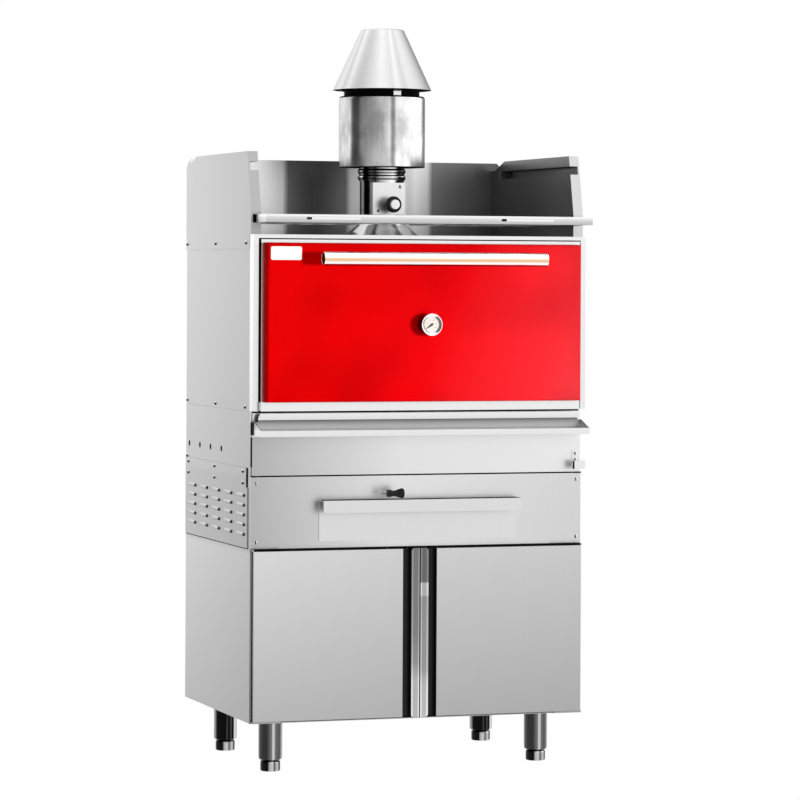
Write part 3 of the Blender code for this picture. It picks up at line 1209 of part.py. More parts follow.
def make_top_shelf():
    """Pull-out rack: front rail with grips, two arms, and wires round a bay for the flue."""
    bottom = GROOVE_LOWER_Z + GAP
    face = FRONT - SHELF_REACH
    pivot = make_pivot("top_shelf_slide", (0, face, bottom))
    top = bottom + SHELF_RAIL_HEIGHT
    grip = (bottom + GRIP_RISE, bottom + GRIP_RISE + GRIP_HEIGHT)
    windows = [((-GRIP_OUTER_X, -GRIP_INNER_X), grip), ((GRIP_INNER_X, GRIP_OUTER_X), grip)]
    shape = panel(bmesh.new(), 1, (face, face + SHELF_RAIL_THICK), both_sides(SHELF_RAIL_X),
                  (bottom, top), windows)
    shelf = add_piece("top_shelf", shape, "stainless", pivot)
    inner_x = SURROUND_X - SURROUND_THICK - PLAY
    back = face + SHELF_ARM_LENGTH
    for side in (-1, 1):
        arm = block(bmesh.new(), (side * (SHELF_RAIL_X - SHELF_ARM_THICK), side * SHELF_RAIL_X),
                    (face + SHELF_RAIL_THICK / 2, back), (bottom, top))
        combine(shelf, arm, "UNION")
    bay = (both_sides(SHELF_BAY_X), (face + SHELF_BAY_START, back + OVERRUN))
    pitch = 2 * (inner_x - SHELF_BAND) / SHELF_WIRES
    gap = pitch * (1 - SHELF_WIRE_SHARE)
    windows = [bay]
    for index in range(SHELF_WIRES):
        centre = -inner_x + SHELF_BAND + (index + 1 / 2) * pitch
        wide = (centre - gap / 2, centre + gap / 2)
        limit = face + SHELF_BAY_START if abs(centre) < SHELF_BAY_X + SHELF_BAND else back
        windows.append((wide, (face + SHELF_BAND + SHELF_RAIL_THICK, limit - SHELF_BAND)))
    deck = panel(bmesh.new(), 2, (bottom + PLAY, bottom + PLAY + SHELF_DECK_THICK),
                 both_sides(SHELF_RAIL_X - SHELF_ARM_THICK / 2),
                 (face + SHELF_RAIL_THICK / 2, back - SHELF_RAIL_THICK), windows)
    combine(shelf, deck, "UNION")


def make_chimney():
    """Flue cone on the deck, the pipe through it, and the spark arrestor with its cap."""
    middle = (0, MIDDLE_Y, 0)
    bore = PIPE_RADIUS + PLAY
    neck = bore + SHEET
    low = DECK_TOP + GAP
    profile = [(FLUE_CONE_RADIUS, low), (FLUE_CONE_RADIUS, low + SHEET),
               (FLUE_CONE_RADIUS - FLUE_CONE_FLANGE, low + SHEET), (neck, FLUE_CONE_TOP),
               (neck, FLUE_CONE_TOP + FLUE_CONE_COLLAR), (bore, FLUE_CONE_TOP + FLUE_CONE_COLLAR),
               (bore, FLUE_CONE_TOP - SHEET), (FLUE_CONE_RADIUS - FLUE_CONE_FLANGE - SHEET, low)]
    shape = turned(bmesh.new(), profile, middle, sides=SIDES_LARGE)
    add_piece("flue_cone", shape, "stainless", smooth=True)

    inner = PIPE_RADIUS - PIPE_WALL
    low = CHAMBER_TOP
    profile = [(inner, low), (PIPE_RADIUS, low), (PIPE_RADIUS, PIPE_TOP), (inner, PIPE_TOP)]
    shape = turned(bmesh.new(), profile, middle, sides=SIDES_LARGE)
    pipe = add_piece("flue_pipe", shape, "stainless", smooth=True)
    holes = rod(bmesh.new(), (0, MIDDLE_Y + PIPE_RADIUS + OVERRUN, DAMPER_AXIS_Z),
                DAMPER_SHAFT_RADIUS + PLAY, 2 * (PIPE_RADIUS + OVERRUN), TO_FRONT)
    combine(pipe, holes)

    bulge = ARRESTOR_COLLAR_BULGE
    collar_top = ARRESTOR_BOTTOM
    low = ARRESTOR_COLLAR_BOTTOM
    bead = (collar_top - low) / 2
    outer, wall = ARRESTOR_RADIUS, ARRESTOR_SHEET
    corner = ARRESTOR_SHOULDER
    top = ARRESTOR_TOP
    shoulder = corner * math.cos(math.pi / 4)
    profile = [(bore, low), (bore + wall, low), (bore + bulge, low + bead / 2),
               (bore + wall, low + bead), (bore + bulge, low + bead * 3 / 2),
               (bore + wall, collar_top), (outer, collar_top), (outer, top - corner),
               (outer - corner + shoulder, top - corner + shoulder), (outer - corner, top),
               (outer - corner - wall, top - wall), (outer - corner - wall, top - 2 * wall),
               (outer - corner + shoulder - wall, top - corner + shoulder - wall),
               (outer - wall, top - corner), (outer - wall, collar_top + wall),
               (bore, collar_top + wall)]
    shape = turned(bmesh.new(), profile, middle, sides=SIDES_LARGE)
    add_piece("spark_arrestor", shape, "stainless", smooth=True)

    profile = [(CAP_BOTTOM_RADIUS, CAP_BOTTOM), (CAP_TOP_RADIUS, CAP_TOP), (0, CAP_TOP)]
    sheet = CAP_SHEET
    lean = sheet * math.hypot(1, (CAP_BOTTOM_RADIUS - CAP_TOP_RADIUS) / (CAP_TOP - CAP_BOTTOM))
    profile = [(0, CAP_TOP - sheet), (CAP_TOP_RADIUS - lean, CAP_TOP - sheet),
               (CAP_BOTTOM_RADIUS - lean, CAP_BOTTOM), *profile]
    shape = turned(bmesh.new(), profile, middle, sides=SIDES_LARGE)
    cap = add_piece("cone_cap", shape, "stainless", smooth=True)
    join_cap_straps(cap, lean)


def join_cap_straps(cap, lean):
    """Three bent straps, welded inside the cap, that stand in the arrestor's mouth."""
    slope = (CAP_BOTTOM_RADIUS - CAP_TOP_RADIUS) / (CAP_TOP - CAP_BOTTOM)
    facet = math.cos(math.pi / SIDES_LARGE)
    rim = (ARRESTOR_RADIUS - ARRESTOR_SHOULDER - ARRESTOR_SHEET) * facet
    outer = math.sqrt(rim ** 2 - (STRAP_WIDTH / 2) ** 2) - GAP
    bend = ARRESTOR_TOP + STRAP_ABOVE

    def under_cap(height):
        inside = (CAP_BOTTOM_RADIUS - lean - (height - CAP_BOTTOM) * slope) * facet
        return math.sqrt(inside ** 2 - (STRAP_WIDTH / 2) ** 2) + CAP_SHEET / 2

    turn = STRAP_TOP - 2 * STRAP_BELOW / 3
    thick = STRAP_THICK
    outline = [(outer, ARRESTOR_TOP - STRAP_BELOW), (outer, bend),
               (under_cap(turn), turn), (under_cap(STRAP_TOP), STRAP_TOP),
               (under_cap(STRAP_TOP) - thick, STRAP_TOP), (under_cap(turn) - thick, turn + thick),
               (outer - thick, bend + thick), (outer - thick, ARRESTOR_TOP - STRAP_BELOW)]
    for index in range(STRAP_COUNT):
        strap = prism(bmesh.new(), 1, both_sides(STRAP_WIDTH / 2), outline)
        angle = STRAP_TURN + index * math.tau / STRAP_COUNT
        matrix = Matrix.Translation((0, MIDDLE_Y, 0)) @ Matrix.Rotation(angle, 4, "Z")
        bmesh.ops.transform(strap, matrix=matrix, verts=strap.verts)
        combine(cap, strap, "UNION")


def make_damper():
    """Damper box on the pipe, the butterfly on its shaft, and the knob with its cap."""
    front = MIDDLE_Y - DAMPER_REACH
    back = front + DAMPER_DEPTH
    shape = block(bmesh.new(), both_sides(DAMPER_X), (front, back), (DAMPER_BOTTOM, DAMPER_TOP))
    box = add_piece("damper_box", shape, "stainless")
    inner = block(bmesh.new(), both_sides(DAMPER_X - SHEET), (front + SHEET, back + OVERRUN),
                  (DAMPER_BOTTOM + SHEET, DAMPER_TOP - SHEET))
    combine(box, inner)
    pipe = rod(bmesh.new(), (0, MIDDLE_Y, DAMPER_BOTTOM - OVERRUN), PIPE_RADIUS + PLAY,
               DAMPER_TOP - DAMPER_BOTTOM + 2 * OVERRUN, sides=SIDES_LARGE)
    combine(box, pipe)
    hole = rod(bmesh.new(), (0, back, DAMPER_AXIS_Z), DAMPER_SHAFT_RADIUS + PLAY,
               DAMPER_DEPTH + OVERRUN, TO_FRONT)
    combine(box, hole)

    pivot = make_pivot("flue_damper_axis", (0, MIDDLE_Y, DAMPER_AXIS_Z))
    start = MIDDLE_Y + PIPE_RADIUS + SHEET
    end = MIDDLE_Y - DAMPER_KNOB_BACK
    shape = rod(bmesh.new(), (0, start, DAMPER_AXIS_Z), DAMPER_SHAFT_RADIUS, start - end,
                TO_FRONT)
    shaft = add_piece("damper_plate", shape, "stainless", pivot)
    disc = rod(bmesh.new(), (-DAMPER_DISC_THICK / 2, MIDDLE_Y, DAMPER_AXIS_Z),
               DAMPER_DISC_RADIUS, DAMPER_DISC_THICK, TO_RIGHT, SIDES_MEDIUM)
    combine(shaft, disc, "UNION")

    edge = DAMPER_KNOB_EDGE
    radius = DAMPER_KNOB_RADIUS
    cap = DAMPER_CAP_RADIUS
    knob_back = DAMPER_KNOB_BACK + GAP
    centre = (0, MIDDLE_Y, DAMPER_AXIS_Z)
    profile = [(0, knob_back), (radius - edge, knob_back), (radius, knob_back + edge),
               (radius, DAMPER_RING_FRONT - edge), (radius - edge, DAMPER_RING_FRONT),
               (cap, DAMPER_RING_FRONT), (cap, DAMPER_CAP_FRONT - edge),
               (cap - edge, DAMPER_CAP_FRONT), (0, DAMPER_CAP_FRONT)]
    shape = turned(bmesh.new(), profile, centre, TO_FRONT)
    add_piece("damper_knob", shape, "black_plastic", pivot, smooth=True)


def make_oven():
    """Build the whole oven from the floor up."""
    clear_scene()
    make_base_cabinet()
    make_legs()
    make_feet()
    for side, side_name in ((-1, "left"), (1, "right")):
        make_cabinet_door(side, side_name)
        make_louvre_plate(side, side_name)
        make_side_sheets(side, side_name)
        make_surround_side(side, side_name)
        make_door_hinge(side, side_name)
    make_vent_casing()
    make_vent_front_panel()
    make_ash_drawer()
    make_grate("charcoal_grate", CHARCOAL_RAIL_Z)
    make_grate("grill_grate", GRILL_RAIL_Z)
    make_air_lever()
    make_firebox_flap()
    make_ledge_tray()
    make_door_frame()
    make_door_seal()
    make_back_panel()
    make_chamber()
    make_oven_door()
    make_deck()
    make_surround_back()
    make_top_shelf()
    make_chimney()
    make_damper()


make_oven()
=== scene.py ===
# %% [markdown]
# # Charcoal oven on a cabinet
#
# The oven is a steel box on legs. From the floor up it has a cabinet, a vent section with the ash
# drawer, a firebox behind a flap, the oven with its red door, and a chimney inside a guard.
# This script dresses the oven's CAD solids for a studio picture. Each CAD node keeps its place and
# gets a procedural material. Finer pieces are added where the real one is round, printed or
# pressed. All lengths are metres, +Z is up, and the oven's front looks along -Y.

# %% Set-up
import math

import bpy
import numpy as np
from mathutils import Matrix, Vector


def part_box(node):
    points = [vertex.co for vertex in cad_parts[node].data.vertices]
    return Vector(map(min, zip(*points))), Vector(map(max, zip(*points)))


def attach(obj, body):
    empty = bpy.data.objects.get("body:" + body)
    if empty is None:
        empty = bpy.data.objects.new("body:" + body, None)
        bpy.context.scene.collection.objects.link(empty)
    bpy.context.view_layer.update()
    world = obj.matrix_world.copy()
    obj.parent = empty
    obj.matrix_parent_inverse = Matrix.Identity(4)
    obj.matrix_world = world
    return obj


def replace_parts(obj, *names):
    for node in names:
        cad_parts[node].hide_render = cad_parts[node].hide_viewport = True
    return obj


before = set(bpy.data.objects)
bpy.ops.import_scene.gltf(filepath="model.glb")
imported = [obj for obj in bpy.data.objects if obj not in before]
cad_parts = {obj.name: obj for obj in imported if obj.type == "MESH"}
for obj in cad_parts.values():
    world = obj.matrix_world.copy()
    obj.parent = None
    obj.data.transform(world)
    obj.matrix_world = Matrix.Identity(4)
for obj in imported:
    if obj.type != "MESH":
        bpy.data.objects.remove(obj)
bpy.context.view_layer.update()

# %% [markdown]
# ## Sizes
#
# The finer pieces have to sit on the CAD nodes. Their sizes could be typed again here, but then a
# change to a node would leave them behind. So each place starts from a node's box, and only the
# small sizes that no node has, such as a fold or a bead, are given in millimetres.

# %% Sizes taken from the CAD nodes
MM = 0.001


def mm(*lengths):
    """Lengths given in millimetres, as an array in metres."""
    return np.array(lengths) * MM


def centre_of(node):
    """Middle of a CAD node's box."""
    low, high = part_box(node)
    return (low + high) / 2


def extent(node, axis):
    """The two ends of a CAD node along an axis (0 for x, 2 for z), as points on that axis."""
    low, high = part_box(node)
    along = Vector([1.0 if index == axis else 0.0 for index in range(3)])
    return tuple(along * low[axis]), tuple(along * high[axis])


SIDES = ((-1, "left"), (1, "right"))
vent_low, vent_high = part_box("vent_front_panel")
flap_low, flap_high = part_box("firebox_flap")
FRONT = vent_low.y  # the front face of the body's sheets
BODY_X = vent_high.x  # half the body's width
AXIS_Y = centre_of("flue_pipe").y  # the chimney stands over the middle of the body
print("front face at", round(FRONT, 4), "half width", round(BODY_X, 4), "axis", round(AXIS_Y, 4))

# %% Sizes of the chimney
COLLAR_HEIGHT = 35 * MM  # the collar under the drum
CAP_CROWN = 53.5 * MM  # radius of the cap's flat top
CAP_GAP = 16 * MM  # between the drum's top and the cap's rim
drum_low, drum_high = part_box("spark_arrestor")
DRUM_RADIUS, DRUM_FOOT_Z, DRUM_TOP_Z = drum_high.x, drum_low.z + COLLAR_HEIGHT, drum_high.z
CAP_RIM, CAP_TOP_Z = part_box("cone_cap")[1].x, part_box("cone_cap")[1].z
CAP_RIM_Z = DRUM_TOP_Z + CAP_GAP
CAP_SLOPE = (CAP_RIM - CAP_CROWN) / (CAP_TOP_Z - CAP_RIM_Z)
print("drum radius", round(DRUM_RADIUS, 4), "from", round(DRUM_FOOT_Z, 4), "to",
      round(DRUM_TOP_Z, 4), "and the cap narrows by", round(CAP_SLOPE, 4), "per metre of height")


# %% [markdown]
# ## Shader helpers
#
# A material is a small graph of shader nodes. It could be wired by hand in the shader editor, but
# forty finishes would then be forty graphs to keep alike. Here one function adds a node with its
# settings and its links, so that each recipe reads as a short list.

# %% Shader helpers
def colour(code):
    """Linear RGBA of a six-digit sRGB code: c/12.92 below 0.04045, else ((c+0.055)/1.055)^2.4."""
    shares = [int(code[i : i + 2], 16) / 255 for i in (0, 2, 4)]
    linear = [c / 12.92 if c <= 0.04045 else ((c + 0.055) / 1.055) ** 2.4 for c in shares]
    return (*linear, 1.0)


def greys(*stops):
    """Stops of plain greys: (place, two hex digits) becomes (place, six-digit code)."""
    return [(place, digits * 3) for place, digits in stops]


def link_in(tree, kind, options=None, **inputs):
    """Adds a node to the tree, with its settings and its links.

    Options are the node's settings, and "stops" are a colour ramp's (place, code) pairs. Each
    input is a value, or another node's output to join. An input named n6 is the one at index 6.
    """
    node = tree.nodes.new(kind)
    for name, value in (options or {}).items():
        if name != "stops":
            setattr(node, name, value)
            continue
        elements = node.color_ramp.elements
        while len(elements) < len(value):
            elements.new(0.5)
        for element, (place, code) in zip(elements, value):
            element.position = place
            element.color = colour(code)
    for name, value in inputs.items():
        key = int(name[1:]) if name[0] == "n" and name[1:].isdigit() else name.replace("_", " ")
        if isinstance(value, bpy.types.NodeSocket):
            tree.links.new(value, node.inputs[key])
        else:
            node.inputs[key].default_value = value
    return node


def begin(name):
    """A new material: its node tree, the Principled shader and the Object coordinates."""
    material = bpy.data.materials.new(name)
    material.use_nodes = True
    tree = material.node_tree
    shader = tree.nodes["Principled BSDF"]
    place = link_in(tree, "ShaderNodeTexCoord").outputs["Object"]
    return material, tree, shader, place


def put(shader, **inputs):
    """Sets constants on the Principled shader itself."""
    for name, value in inputs.items():
        shader.inputs[name.replace("_", " ")].default_value = value


BLEND = {"data_type": "RGBA"}  # a Mix node for colours: its inputs 6 and 7, and its output 2
TIMES = {"data_type": "RGBA", "blend_type": "MULTIPLY"}
print("sRGB 80 is linear", round(colour("808080")[0], 4))


# %% [markdown]
# ## Patterns
#
# Two patterns do nearly all the work. Brushing leaves fine parallel lines, which are noise that is
# stretched along one axis. Large sheets get lighter or darker from one edge to the other, because
# they mirror a room that does, so a painted tone of that reflection follows the distance along a
# line. Photographs could be wrapped on instead, but noise and distances stay sharp at any size and
# need no unwrapping.

# %% Patterns
def grains(*sizes):
    """Cycles per metre on x, y and z of a pattern whose grains have these sizes in mm."""
    return tuple(1000 / size for size in sizes)


def streaks(tree, place, grain, detail=3.0):
    """Noise of the Object coordinates times the cycles per metre on each axis, 0 to 1."""
    moved = link_in(tree, "ShaderNodeMapping", None, Vector=place, Scale=grain)
    noise = link_in(tree, "ShaderNodeTexNoise", None, Vector=moved.outputs[0], Scale=1.0,
                    Detail=detail)
    return noise.outputs["Fac"]


def way_along(tree, place, start, end):
    """0 at start to 1 at end: (place - start) dot (end - start), over that length squared."""
    way = Vector(end) - Vector(start)
    moved = link_in(tree, "ShaderNodeVectorMath", {"operation": "SUBTRACT"}, n0=place, n1=start)
    along = link_in(tree, "ShaderNodeVectorMath", {"operation": "DOT_PRODUCT"},
                    n0=moved.outputs[0], n1=tuple(way / way.length_squared))
    return along.outputs["Value"]


def painted_light_along(tree, place, start, end, stops):
    """A ramp of painted light and shade from one point to another."""
    share = way_along(tree, place, start, end)
    return link_in(tree, "ShaderNodeValToRGB", {"stops": stops}, Fac=share).outputs["Color"]


print("a 1.11 mm grain is", round(grains(1.11)[0]), "cycles per metre")

# %% [markdown]
# ## Painted reflections by direction
#
# A studio puts black and white cards beside polished metal, and a round piece shows them as upright
# stripes. Real cards would have to be matched to every tube at once. It is easier to paint the
# stripes into the colour, worked out from the direction that each point of the piece faces. These
# painted reflections stay put on the piece when it is seen from another side.

# %% Painted reflections by direction
def painted_light_by_facing(tree, stops, by_height=False):
    """A painted tone of light and shade by the direction that a surface faces, in degrees.

    By compass the angle is arctan2(x, -y) of the normal: 0 faces the front, 90 the right side.
    By height it is arcsin(z): -90 faces straight down, and 90 straight up.
    """
    normal = link_in(tree, "ShaderNodeTexCoord").outputs["Normal"]
    x, y, z = link_in(tree, "ShaderNodeSeparateXYZ", None, Vector=normal).outputs
    if by_height:
        angle = link_in(tree, "ShaderNodeMath", {"operation": "ARCSINE"}, n0=z)
    else:
        ahead = link_in(tree, "ShaderNodeMath", {"operation": "MULTIPLY"}, n0=y, n1=-1.0)
        angle = link_in(tree, "ShaderNodeMath", {"operation": "ARCTAN2"}, n0=x,
                        n1=ahead.outputs[0])
    reach = 90 if by_height else 180
    share = link_in(tree, "ShaderNodeMapRange", None, Value=angle.outputs[0],
                    From_Min=-math.radians(reach), From_Max=math.radians(reach))
    placed = [((degrees + reach) / (2 * reach), code) for degrees, code in stops]
    ramp = link_in(tree, "ShaderNodeValToRGB", {"stops": placed}, Fac=share.outputs[0])
    return ramp.outputs["Color"]


# White where a surface faces backwards, and black where it faces forwards.
REARWARD = greys((-180, "FF"), (-91, "FF"), (-89, "00"), (89, "00"), (91, "FF"), (180, "FF"))
print("stops that part the front from the rear:", len(REARWARD))


# %% [markdown]
# ## Recipe: steel
#
# Stainless sheet is brushed with an abrasive belt, which leaves lines about 0.05 mm apart. They
# spread each reflection sideways and make it silky. They could be modelled as grooves, but are far
# too fine. So they are noise in three places at once: a little in the tone, more in the roughness,
# and a trace in the height.

# %% Recipe: steel
SMUDGES = grains(45.5, 45.5, 71.4)  # the cloudy patches that heat leaves, about 50 mm across


def steel(name, tone, roughness, grain, spread=0.06, bump=0.02, tones=(), bands=(), heights=(),
          cloud=None, front_only=False, metallic=1.0):
    """Brushed or rolled steel: tone = lines x tones x bands x heights x smudges.

    The lines mix the tone with one that is darker by spread, and vary the roughness by a fifth.
    tones are painted light and shade (start, end, stops) across a sheet, bands are painted
    reflections by compass, and heights are painted light by height. cloud is the dark tone of
    smudges. front_only keeps the painted tones to faces that look forwards.
    """
    material, tree, shader, place = begin(name)
    put(shader, Metallic=metallic)
    fine = streaks(tree, place, grain)
    dark = tuple(c * (1 - spread) for c in colour(tone)[:3]) + (1.0,)
    brushed = link_in(tree, "ShaderNodeMix", BLEND, n0=fine, n6=dark, n7=colour(tone)).outputs[2]
    base = brushed
    # Painted light and shade: the tones, the bands and the heights darken or lighten the brushed
    # colour.
    for start, end, stops in tones:
        shade = painted_light_along(tree, place, start, end, stops)
        base = link_in(tree, "ShaderNodeMix", TIMES, n0=1.0, n6=base, n7=shade).outputs[2]
    if front_only:
        rear = painted_light_by_facing(tree, REARWARD)
        base = link_in(tree, "ShaderNodeMix", BLEND, n0=rear, n6=base, n7=brushed).outputs[2]
    shades = [painted_light_by_facing(tree, bands)] if bands else []
    if heights:
        shades.append(painted_light_by_facing(tree, heights, True))
    if cloud:
        patch = streaks(tree, place, SMUDGES, 4.0)
        stops = [(0.40, cloud), (0.62, "FFFFFF")]
        patch = link_in(tree, "ShaderNodeValToRGB", {"stops": stops}, Fac=patch)
        shades.append(patch.outputs["Color"])
    for shade in shades:
        base = link_in(tree, "ShaderNodeMix", TIMES, n0=1.0, n6=base, n7=shade).outputs[2]
    tree.links.new(base, shader.inputs["Base Color"])
    rough = link_in(tree, "ShaderNodeMapRange", None, Value=fine, To_Min=roughness * 0.8,
                    To_Max=roughness * 1.2)
    tree.links.new(rough.outputs[0], shader.inputs["Roughness"])
    raised = link_in(tree, "ShaderNodeBump", None, Height=fine, Strength=bump, Distance=0.2 * MM)
    tree.links.new(raised.outputs[0], shader.inputs["Normal"])
    return material


print("smudges per metre across:", round(SMUDGES[0]), "and up:", round(SMUDGES[2]))

# %% [markdown]
# ## Recipe: paint, plastic and fibre
#
# Moulded, painted and woven surfaces are even in colour. A single roughness would look like a
# computer's plastic, because real ones are handled and cast unevenly. A slow mottling of the
# roughness, in patches of about 17 mm, is the cheapest cure.

# %% Recipe: paint, plastic and fibre
MOTTLE = grains(16.7, 16.7, 16.7)
HAND_SPRAY = grains(294, 294, 294)  # slow waves in the red enamel's depth of colour


def plain(name, tone, roughness, tones=(), heights=(), **inputs):
    """One tone, or painted light across the piece or by height, with roughness x (0.85 to 1.15)."""
    material, tree, shader, place = begin(name)
    put(shader, **inputs)
    shader.inputs["Base Color"].default_value = colour(tone)
    # Painted light: tones make the red enamel lighter towards one side, and heights paint a screw
    # dome's highlight and shade.
    if tones:
        waves = streaks(tree, place, HAND_SPRAY, 1.0)
        stops = greys((0.42, "E6"), (0.56, "FF"))
        soft = link_in(tree, "ShaderNodeValToRGB", {"stops": stops}, Fac=waves).outputs["Color"]
        shade = painted_light_along(tree, place, *tones)
        base = link_in(tree, "ShaderNodeMix", TIMES, n0=1.0, n6=shade, n7=soft)
        tree.links.new(base.outputs[2], shader.inputs["Base Color"])
    if heights:
        tree.links.new(painted_light_by_facing(tree, heights, True), shader.inputs["Base Color"])
    rough = link_in(tree, "ShaderNodeMapRange", None, Value=streaks(tree, place, MOTTLE),
                    To_Min=roughness * 0.85, To_Max=roughness * 1.15)
    tree.links.new(rough.outputs[0], shader.inputs["Roughness"])
    return material


print("mottles per metre:", round(MOTTLE[0]), "waves of enamel:", round(HAND_SPRAY[0], 1))

# %% [markdown]
# ## Recipe: soot and painted shade inside, bright outside
#
# The chimney's drum and cap are one sheet thick. Smoke blackens the inner face, and it also lies in
# shade, so the inner face is painted near black for soot and shade together. Two materials on one
# piece would need its faces sorted. Here the material itself asks how far a point is from the
# flue's axis: nearer than the outer skin means inside.

# %% Soot and painted shade inside, bright outside
SKIN = 0.9 * MM  # how far below the outer radius the soot starts
# The near black of the inner faces stands for soot and for painted shade.
SOOT_AND_SHADE, SOOT_ROUGHNESS = "1A1918", 0.8
ROLLED = grains(3.85, 3.85, 200)  # drawing lines left by rolling, drawn coarse enough to show


def sooty_and_shaded(name, tone, roughness, radius_at_foot, foot, slope, bands, cloud=None):
    """Rolled steel with soot and painted shade where distance + slope x (z - foot) < radius at the
    foot - skin.
    """
    material = steel(name, tone, roughness, ROLLED, 0.18, 0.01, bands=bands, cloud=cloud)
    tree = material.node_tree
    shader = tree.nodes["Principled BSDF"]
    place = link_in(tree, "ShaderNodeTexCoord").outputs["Object"]
    x, y, z = link_in(tree, "ShaderNodeSeparateXYZ", None, Vector=place).outputs
    depth = link_in(tree, "ShaderNodeMath", {"operation": "SUBTRACT"}, n0=y, n1=AXIS_Y)
    across = link_in(tree, "ShaderNodeCombineXYZ", None, X=x, Y=depth.outputs[0])
    reach = link_in(tree, "ShaderNodeVectorMath", {"operation": "LENGTH"}, n0=across.outputs[0])
    rise = link_in(tree, "ShaderNodeMath", {"operation": "SUBTRACT"}, n0=z, n1=foot)
    taper = link_in(tree, "ShaderNodeMath", {"operation": "MULTIPLY_ADD"}, n0=rise.outputs[0],
                    n1=slope, n2=reach.outputs["Value"])
    inside = link_in(tree, "ShaderNodeMath", {"operation": "LESS_THAN"}, n0=taper.outputs[0],
                     n1=radius_at_foot - SKIN).outputs[0]
    clean = shader.inputs["Base Color"].links[0].from_socket
    base = link_in(tree, "ShaderNodeMix", BLEND, n0=inside, n6=clean, n7=colour(SOOT_AND_SHADE))
    tree.links.new(base.outputs[2], shader.inputs["Base Color"])
    rough = link_in(tree, "ShaderNodeMapRange", None, Value=inside, To_Min=roughness,
                    To_Max=SOOT_ROUGHNESS)
    tree.links.new(rough.outputs[0], shader.inputs["Roughness"])
    return material


print("soot starts", round(SKIN / MM, 1), "mm below the outer skin")

# %% [markdown]
# ## Painted reflections and shade of the flat sheets
#
# A flat brushed sheet mirrors a wide blur of the room, so it is lighter at one end than at the
# other, and that reflection is painted into its colour. Each table below holds painted tones along
# a line from one point to another. The grip strips and the ledge tray are channels, whose walls and
# floors lie side by side, so their tables have steps of painted shade.

# %% Painted reflections and shade of the flat sheets
LEFT_EDGE, RIGHT_EDGE, CABINET_FOOT = (-0.42, 0, 0), (0.42, 0, 0), (0, 0, 0.12)
FRONT_UPWARDS = (CABINET_FOOT, (0, 0, 0.90),
                 greys((0.0, "C4"), (0.54, "D6"), (0.56, "E8"), (1.0, "EE")))
FRONT_TONES = [
    FRONT_UPWARDS,
    (LEFT_EDGE, RIGHT_EDGE, greys((0.0, "C4"), (0.45, "F6"), (1.0, "FC"))),
]
VENT_TONES = [
    FRONT_UPWARDS,
    (LEFT_EDGE, RIGHT_EDGE, greys((0.0, "C8"), (0.42, "F6"), (0.7, "F0"), (1.0, "E8"))),
]
RAIL_TONES = [
    (*extent("top_shelf", 2), greys((0.0, "C0"), (0.5, "DC"), (0.7, "EC"), (0.8, "FF"))),
]
DOOR_TONES = [
    (CABINET_FOOT, (0, 0, 0.55), greys((0.0, "C6"), (1.0, "E6"))),
    (LEFT_EDGE, RIGHT_EDGE, greys((0.0, "FA"), (0.5, "EE"), (1.0, "E8"))),
]
SIDE_TONES = [
    (CABINET_FOOT, (0, 0, 1.50),
     greys((0.0, "CD"), (0.30, "E8"), (0.31, "CC"), (0.43, "D0"), (0.44, "D8"), (1.0, "D6"))),
    ((0, -0.22, 0), (0, 0.36, 0), greys((0.0, "E8"), (1.0, "FF"))),
]
# Painted reflections and shade on the guard's back sheet, in light and dark upright bands.
BACK_TONES = [
    ((-0.26, 0, 0), RIGHT_EDGE,
     greys((0.0, "FF"), (0.13, "E4"), (0.15, "74"), (0.38, "68"), (0.40, "B8"), (0.64, "E8"),
           (0.66, "FF"), (0.71, "F4"), (0.73, "8C"), (0.9, "84"), (1.0, "60"))),
]
# Painted shade in the ledge tray's channel: darker bands between light ones, up its height.
TRAY_TONES = [
    (*extent("ledge_tray", 2),
     greys((0.0, "E8"), (0.27, "EC"), (0.29, "C8"), (0.34, "D4"), (0.66, "7C"), (0.70, "58"),
           (0.72, "E4"), (1.0, "F0"))),
]
# Painted shade in the grip channels: darker lower down and towards the middle.
LEFT_GRIP_TONES = [
    (*extent("grip_strip_left", 2),
     greys((0.0, "FF"), (0.22, "F8"), (0.32, "CC"), (0.5, "B4"), (1.0, "A4"))),
    (*extent("grip_strip_left", 0),
     greys((0.12, "FF"), (0.24, "C4"), (0.8, "C4"), (0.9, "FF"))),
]
RIGHT_GRIP_TONES = [
    (*extent("grip_strip_right", 2),
     greys((0.0, "FF"), (0.2, "F4"), (0.28, "D0"), (0.71, "C0"), (0.72, "E8"), (0.79, "E8"),
           (0.80, "90"), (1.0, "90"))),
    (*extent("grip_strip_right", 0),
     greys((0.12, "FF"), (0.24, "C8"), (0.7, "C8"), (0.84, "FF"))),
]
# Painted light on the red enamel: lighter towards the lower right, as if lit from there.
RED_TONES = ((-0.40, 0, 1.25), (0.40, 0, 0.95),
             [(0.0, "E00001"), (0.3, "E20002"), (0.55, "E6030A"), (0.9, "EE2A32"), (1.0, "F03A42")])
print("stops along the guard's back sheet:", len(BACK_TONES[0][2]))

# %% [markdown]
# ## Painted reflections of the round and folded pieces
#
# These tables are by compass: -90 is the oven's left side, 0 its front, 90 its right side and 180
# its back. They are painted reflections of the studio's cards. A leg shows black cards as dark
# stripes with bright gaps between. The polished feet show the same cards with harder steps, and the
# cap, which is dull, shows them faint and wide. The back legs stand in shade under the cabinet, so
# their table is painted darker.

